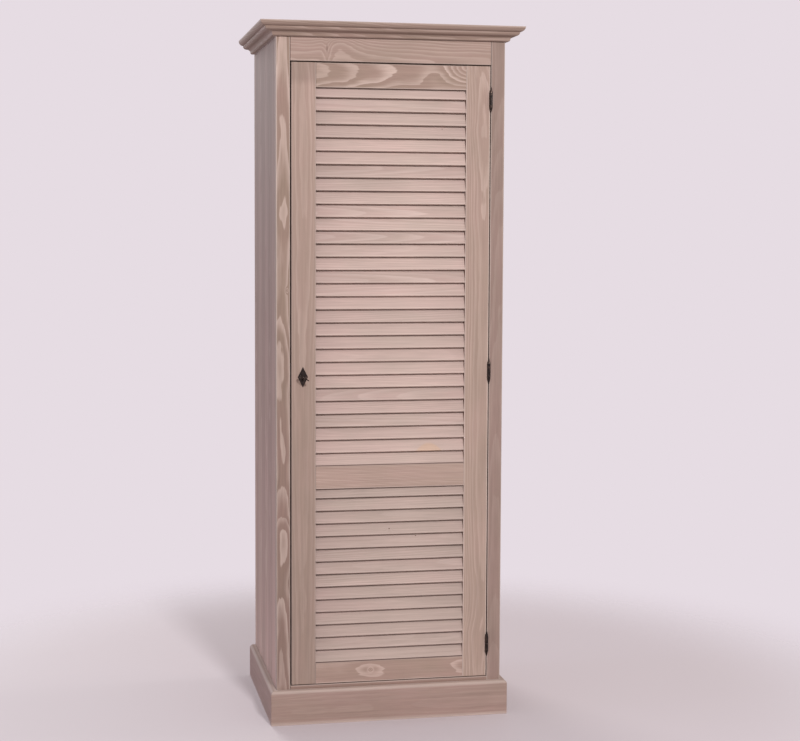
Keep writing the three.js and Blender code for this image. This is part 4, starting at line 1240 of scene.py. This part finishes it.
template = hingeHalf(hingeSet)
halfTurn = Matrix.Rotation(math.pi, 4, "Y")
for height in hingeHeights:
    centre = Vector(np.mean(corners(f"hinge_{height}_pin"), axis=0))
    for which, body, turn, way in (("door", "door", Matrix(), 1), ("frame", "carcass", halfTurn, -1)):
        node = f"hinge_{height}_{which}_leaf"
        half = placedCopy(template, f"{node}_iron", Matrix.Translation(centre) @ turn)
        fit(half, "black_iron", body, node)
        x = centre.x - way * (hingeSet["leafIn"] + hingeSet["screwFoot"])
        y = centre.y + hingeSet["leafStart"] + hingeSet["leafDepth"] / 2
        places = [(x, y, centre.z + dz * hingeSet["screwSpacing"] / 2) for dz in (-1, 1)]
        screws(f"hinge_{height}_{which}_screws", "leaf", places, (way, 0, 0), "black_iron", body, screwSet)
bpy.data.objects.remove(template)
print("hinges made")


# Lock: the diamond plate with its two pins, and the key

plateSet = {
    "wide": 27.7 * mm, "high": 55.6 * mm,
    "bevel": (1.08 * mm, 0.54 * mm),  # how far in at the side tips, and how deep
    "pin": 1.5 * mm, "pinAt": 20 * mm, "dome": 0.7,  # the dome's height as a share of the pin's radius
}


def diamondPlate(s, hole):
    # A diamond in three rings: the back, the full front edge, and the flat of the face inside a bevel.
    low, high = corners("escutcheon")
    share = np.linspace(0, 1, 6, endpoint=False)[:, None]
    tips = np.array([(s["wide"] / 2, 0), (0, s["high"] / 2), (-s["wide"] / 2, 0), (0, -s["high"] / 2)])
    outline = np.concatenate([tip + share * (tips[(i + 1) % 4] - tip) for i, tip in enumerate(tips)])
    bevelIn, bevelDeep = s["bevel"]
    scale = np.array([1, 1, 1 - 2 * bevelIn / s["wide"]])
    rings = np.empty((3, len(outline), 3))
    rings[:, :, 0] = keyPlace[0] + scale[:, None] * outline[:, 0]
    rings[:, :, 1] = np.array([high[1], low[1] + bevelDeep, low[1]])[:, None]
    rings[:, :, 2] = keyPlace[2] + scale[:, None] * outline[:, 1]
    plate = loft("escutcheon_plate", rings, False)
    plate = combined(plate, keyholeCutter(low[1] - past, high[1] + past, hole))
    fit(plate, "black_iron", "door", "escutcheon")
    angle = np.radians(np.linspace(0, 86, 7))
    dome = np.column_stack([s["dome"] * s["pin"] * np.sin(angle), s["pin"] * np.cos(angle)]).tolist()
    feet = [(keyPlace[0], low[1], keyPlace[2] + side * s["pinAt"]) for side in (-1, 1)]
    pins = [turned("pin", foot, -unit[1], dome, 20) for foot in feet]
    fit(gathered("escutcheon_pins", pins), "black_iron", "door")


keySet = {
    "stand": 33 * mm, "bowWide": 30 * mm, "bowLong": 22 * mm, "rim": 4.5 * mm, "thick": 3 * mm,
    # The stem from the bow on: mm along and radius of the neck, the collar and the ring
    "stem": ((0, 2.4), (1.2, 3), (1.6, 3.8), (2.0, 4.2), (4.4, 4.2), (4.8, 3.8), (5.2, 3),
             (7.4, 3), (7.9, 3.5), (8.5, 3.5), (9.0, 3)),
    "shaft": 3 * mm, "ease": 0.4 * mm, "end": 21.6 * mm, "bore": 1.6 * mm, "boreLong": 9 * mm,
    "bitReach": 9.5 * mm, "bitThick": 2.6 * mm, "bitLong": 7.5 * mm, "bitRoot": 2 * mm, "notch": 2 * mm,
    "bitSetIn": 0.6 * mm,  # from the shaft's end
    "turned": 32,  # degrees about +Y from lying flat
}


def makeKey(s):
    # The bow is a rounded strip carried round an ellipse. Everything is drawn flat, then turned.
    around = np.linspace(0, 2 * np.pi, 56, endpoint=False)
    wide, long = (s["bowWide"] - s["rim"]) / 2, (s["bowLong"] - s["rim"]) / 2
    centre = np.stack([wide * np.cos(around), long * np.sin(around), 0 * around], 1)
    outwards = np.stack([np.cos(around) / wide, np.sin(around) / long, 0 * around], 1)
    outwards /= np.linalg.norm(outwards, axis=1)[:, None]
    angle = np.linspace(0, 2 * np.pi, 16, endpoint=False)
    strip = np.stack([np.cos(angle) * s["rim"] / 2, np.sin(angle) * s["thick"] / 2], 1)
    rings = centre[:, None] + strip[None, :, :1] * outwards[:, None] + strip[None, :, 1:] * unit[2]
    rings += [0, -s["stand"], 0]
    key = loft("key_iron", rings[:, ::-1], True, closedLoop=True)
    stem = np.array(s["stem"]) * mm + [long - s["stand"], 0]
    profile = [*stem.tolist(), (s["end"] - s["ease"], s["shaft"]), (s["end"], s["shaft"] - s["ease"])]
    key = combined(key, turned("stem", (0, 0, 0), unit[1], profile, 32), "UNION")
    back, thick, reach = s["end"] - s["bitSetIn"], s["bitThick"] / 2, s["bitReach"]
    middle = back - s["bitLong"] / 2
    bit = block([s["bitRoot"], back - s["bitLong"], -thick], [reach, back, thick])
    notch = block(
        [reach - s["notch"], middle - s["notch"] / 2, -thick - lap],
        [reach + lap, middle + s["notch"] / 2, thick + lap],
    )
    key = combined(key, combined(bit, notch), "UNION")
    bore = [(0, s["bore"]), (s["boreLong"] + lap, s["bore"])]
    key = combined(key, turned("bore", (0, s["end"] - s["boreLong"], 0), unit[1], bore, 20))
    key.data.transform(Matrix.Translation(keyPlace) @ Matrix.Rotation(math.radians(s["turned"]), 4, "Y"))
    fit(key, "black_iron", "key", "key")


diamondPlate(plateSet, lockSet)
makeKey(keySet)
for node in ("lock_case", "lock_bolt", "strike_plate", *(f"hinge_{height}_pin" for height in hingeHeights)):
    nodes[node].data.materials.clear()
    nodes[node].data.materials.append(finishes["plain_steel"])
for name, node, body, side, inset in (
    ("forend_screws", "lock_case", "door", -1, 4.5 * mm),
    ("strike_screws", "strike_plate", "carcass", 1, 7 * mm),
):
    low, high = corners(node)
    face = low[0] if side < 0 else high[0]
    places = [(face, (low[1] + high[1]) / 2, z) for z in (low[2] + inset, high[2] - inset)]
    screws(name, "lock", places, (side, 0, 0), "plain_steel", body, screwSet)
print("lock made")


# Floor, backdrop and lights

stageSet = {
    "floor": "#D2C6CA",
    "backdrop": "#E6DCE3",
    "floorRadius": 2.0,
    "floorRough": 0.7,
    "fade": (0.9, 1.9),  # m from the middle, over which the floor fades into the backdrop
    "fill": 0.42,  # the world's strength on the object
    "fillColour": "#FFF9F6",
}


def makeFloor(s):
    # A disc that fades away towards its rim, so that it has no edge in any view.
    around = np.linspace(0, 2 * np.pi, 96, endpoint=False)
    rim = np.column_stack([np.cos(around), np.sin(around), 0 * around]) * s["floorRadius"]
    floor = meshPiece("floor", rim, [list(range(len(rim)))], np.array([False]))
    material, tree, shader = newMaterial("plain_floor")
    place = addNode(tree, "TexCoord", out="Object")
    distance = addNode(tree, "VectorMath", [place], out="Value", operation="LENGTH")
    solid = addNode(tree, "MapRange", [distance, *s["fade"], 1.0, 0.0], interpolation_type="SMOOTHERSTEP")
    feed(tree, shader, {"Base Color": linear(s["floor"]), "Roughness": s["floorRough"], "Alpha": solid})
    floor.data.materials.append(material)


def makeWorld(s):
    # The camera, glossy and see-through rays meet the backdrop, and everything else an even light.
    world = bpy.data.worlds.new("studio")
    bpy.context.scene.world = world
    world.use_nodes = True
    tree = world.node_tree
    tree.nodes.clear()
    light = addNode(tree, "Background", {"Color": linear(s["fillColour"]), "Strength": s["fill"]})
    shown = addNode(tree, "Background", {"Color": linear(s["backdrop"]), "Strength": 1.0})
    ray = addNode(tree, "LightPath").node.outputs
    seen = addNode(tree, "Math", [ray["Is Camera Ray"], ray["Is Glossy Ray"]], operation="MAXIMUM")
    seen = addNode(tree, "Math", [seen, ray["Is Transmission Ray"]], operation="MAXIMUM")
    both = addNode(tree, "MixShader", [seen, light, shown])
    addNode(tree, "OutputWorld", {"Surface": both})


lampSet = {
    "key": {"place": (0.5, -5.8, 3.5), "aim": (0, 0, 1.0), "size": 0.7, "watts": 275, "colour": "#FBFEFF"},
    "left": {"place": (-6.0, 0.2, 1.0), "aim": (0, 0, 0.8), "size": 2.0, "watts": 85, "colour": "#CCDDFF"},
    "right": {"place": (6.0, 0.6, 2.4), "aim": (0, 0, 0.9), "size": 2.0, "watts": 70, "colour": "#FFFFFF"},
    "back": {"place": (-1.6, 6.0, 3.0), "aim": (0, 0, 1.0), "size": 2.4, "watts": 160, "colour": "#FFFFFF"},
}


def makeLamps(lamps):
    # Round soft boxes, each turned towards its aim.
    for name, s in lamps.items():
        data = bpy.data.lights.new(name, "AREA")
        data.shape = "DISK"
        data.size = s["size"]
        data.energy = s["watts"]
        data.color = linear(s["colour"])[:3]
        lamp = newObject(name, data)
        lamp.location = s["place"]
        lamp.rotation_euler = (Vector(s["aim"]) - Vector(s["place"])).to_track_quat("-Z", "Y").to_euler()


makeFloor(stageSet)
makeWorld(stageSet)
makeLamps(lampSet)
bpy.context.scene.view_settings.view_transform = "Standard"
print("stage and lights set")
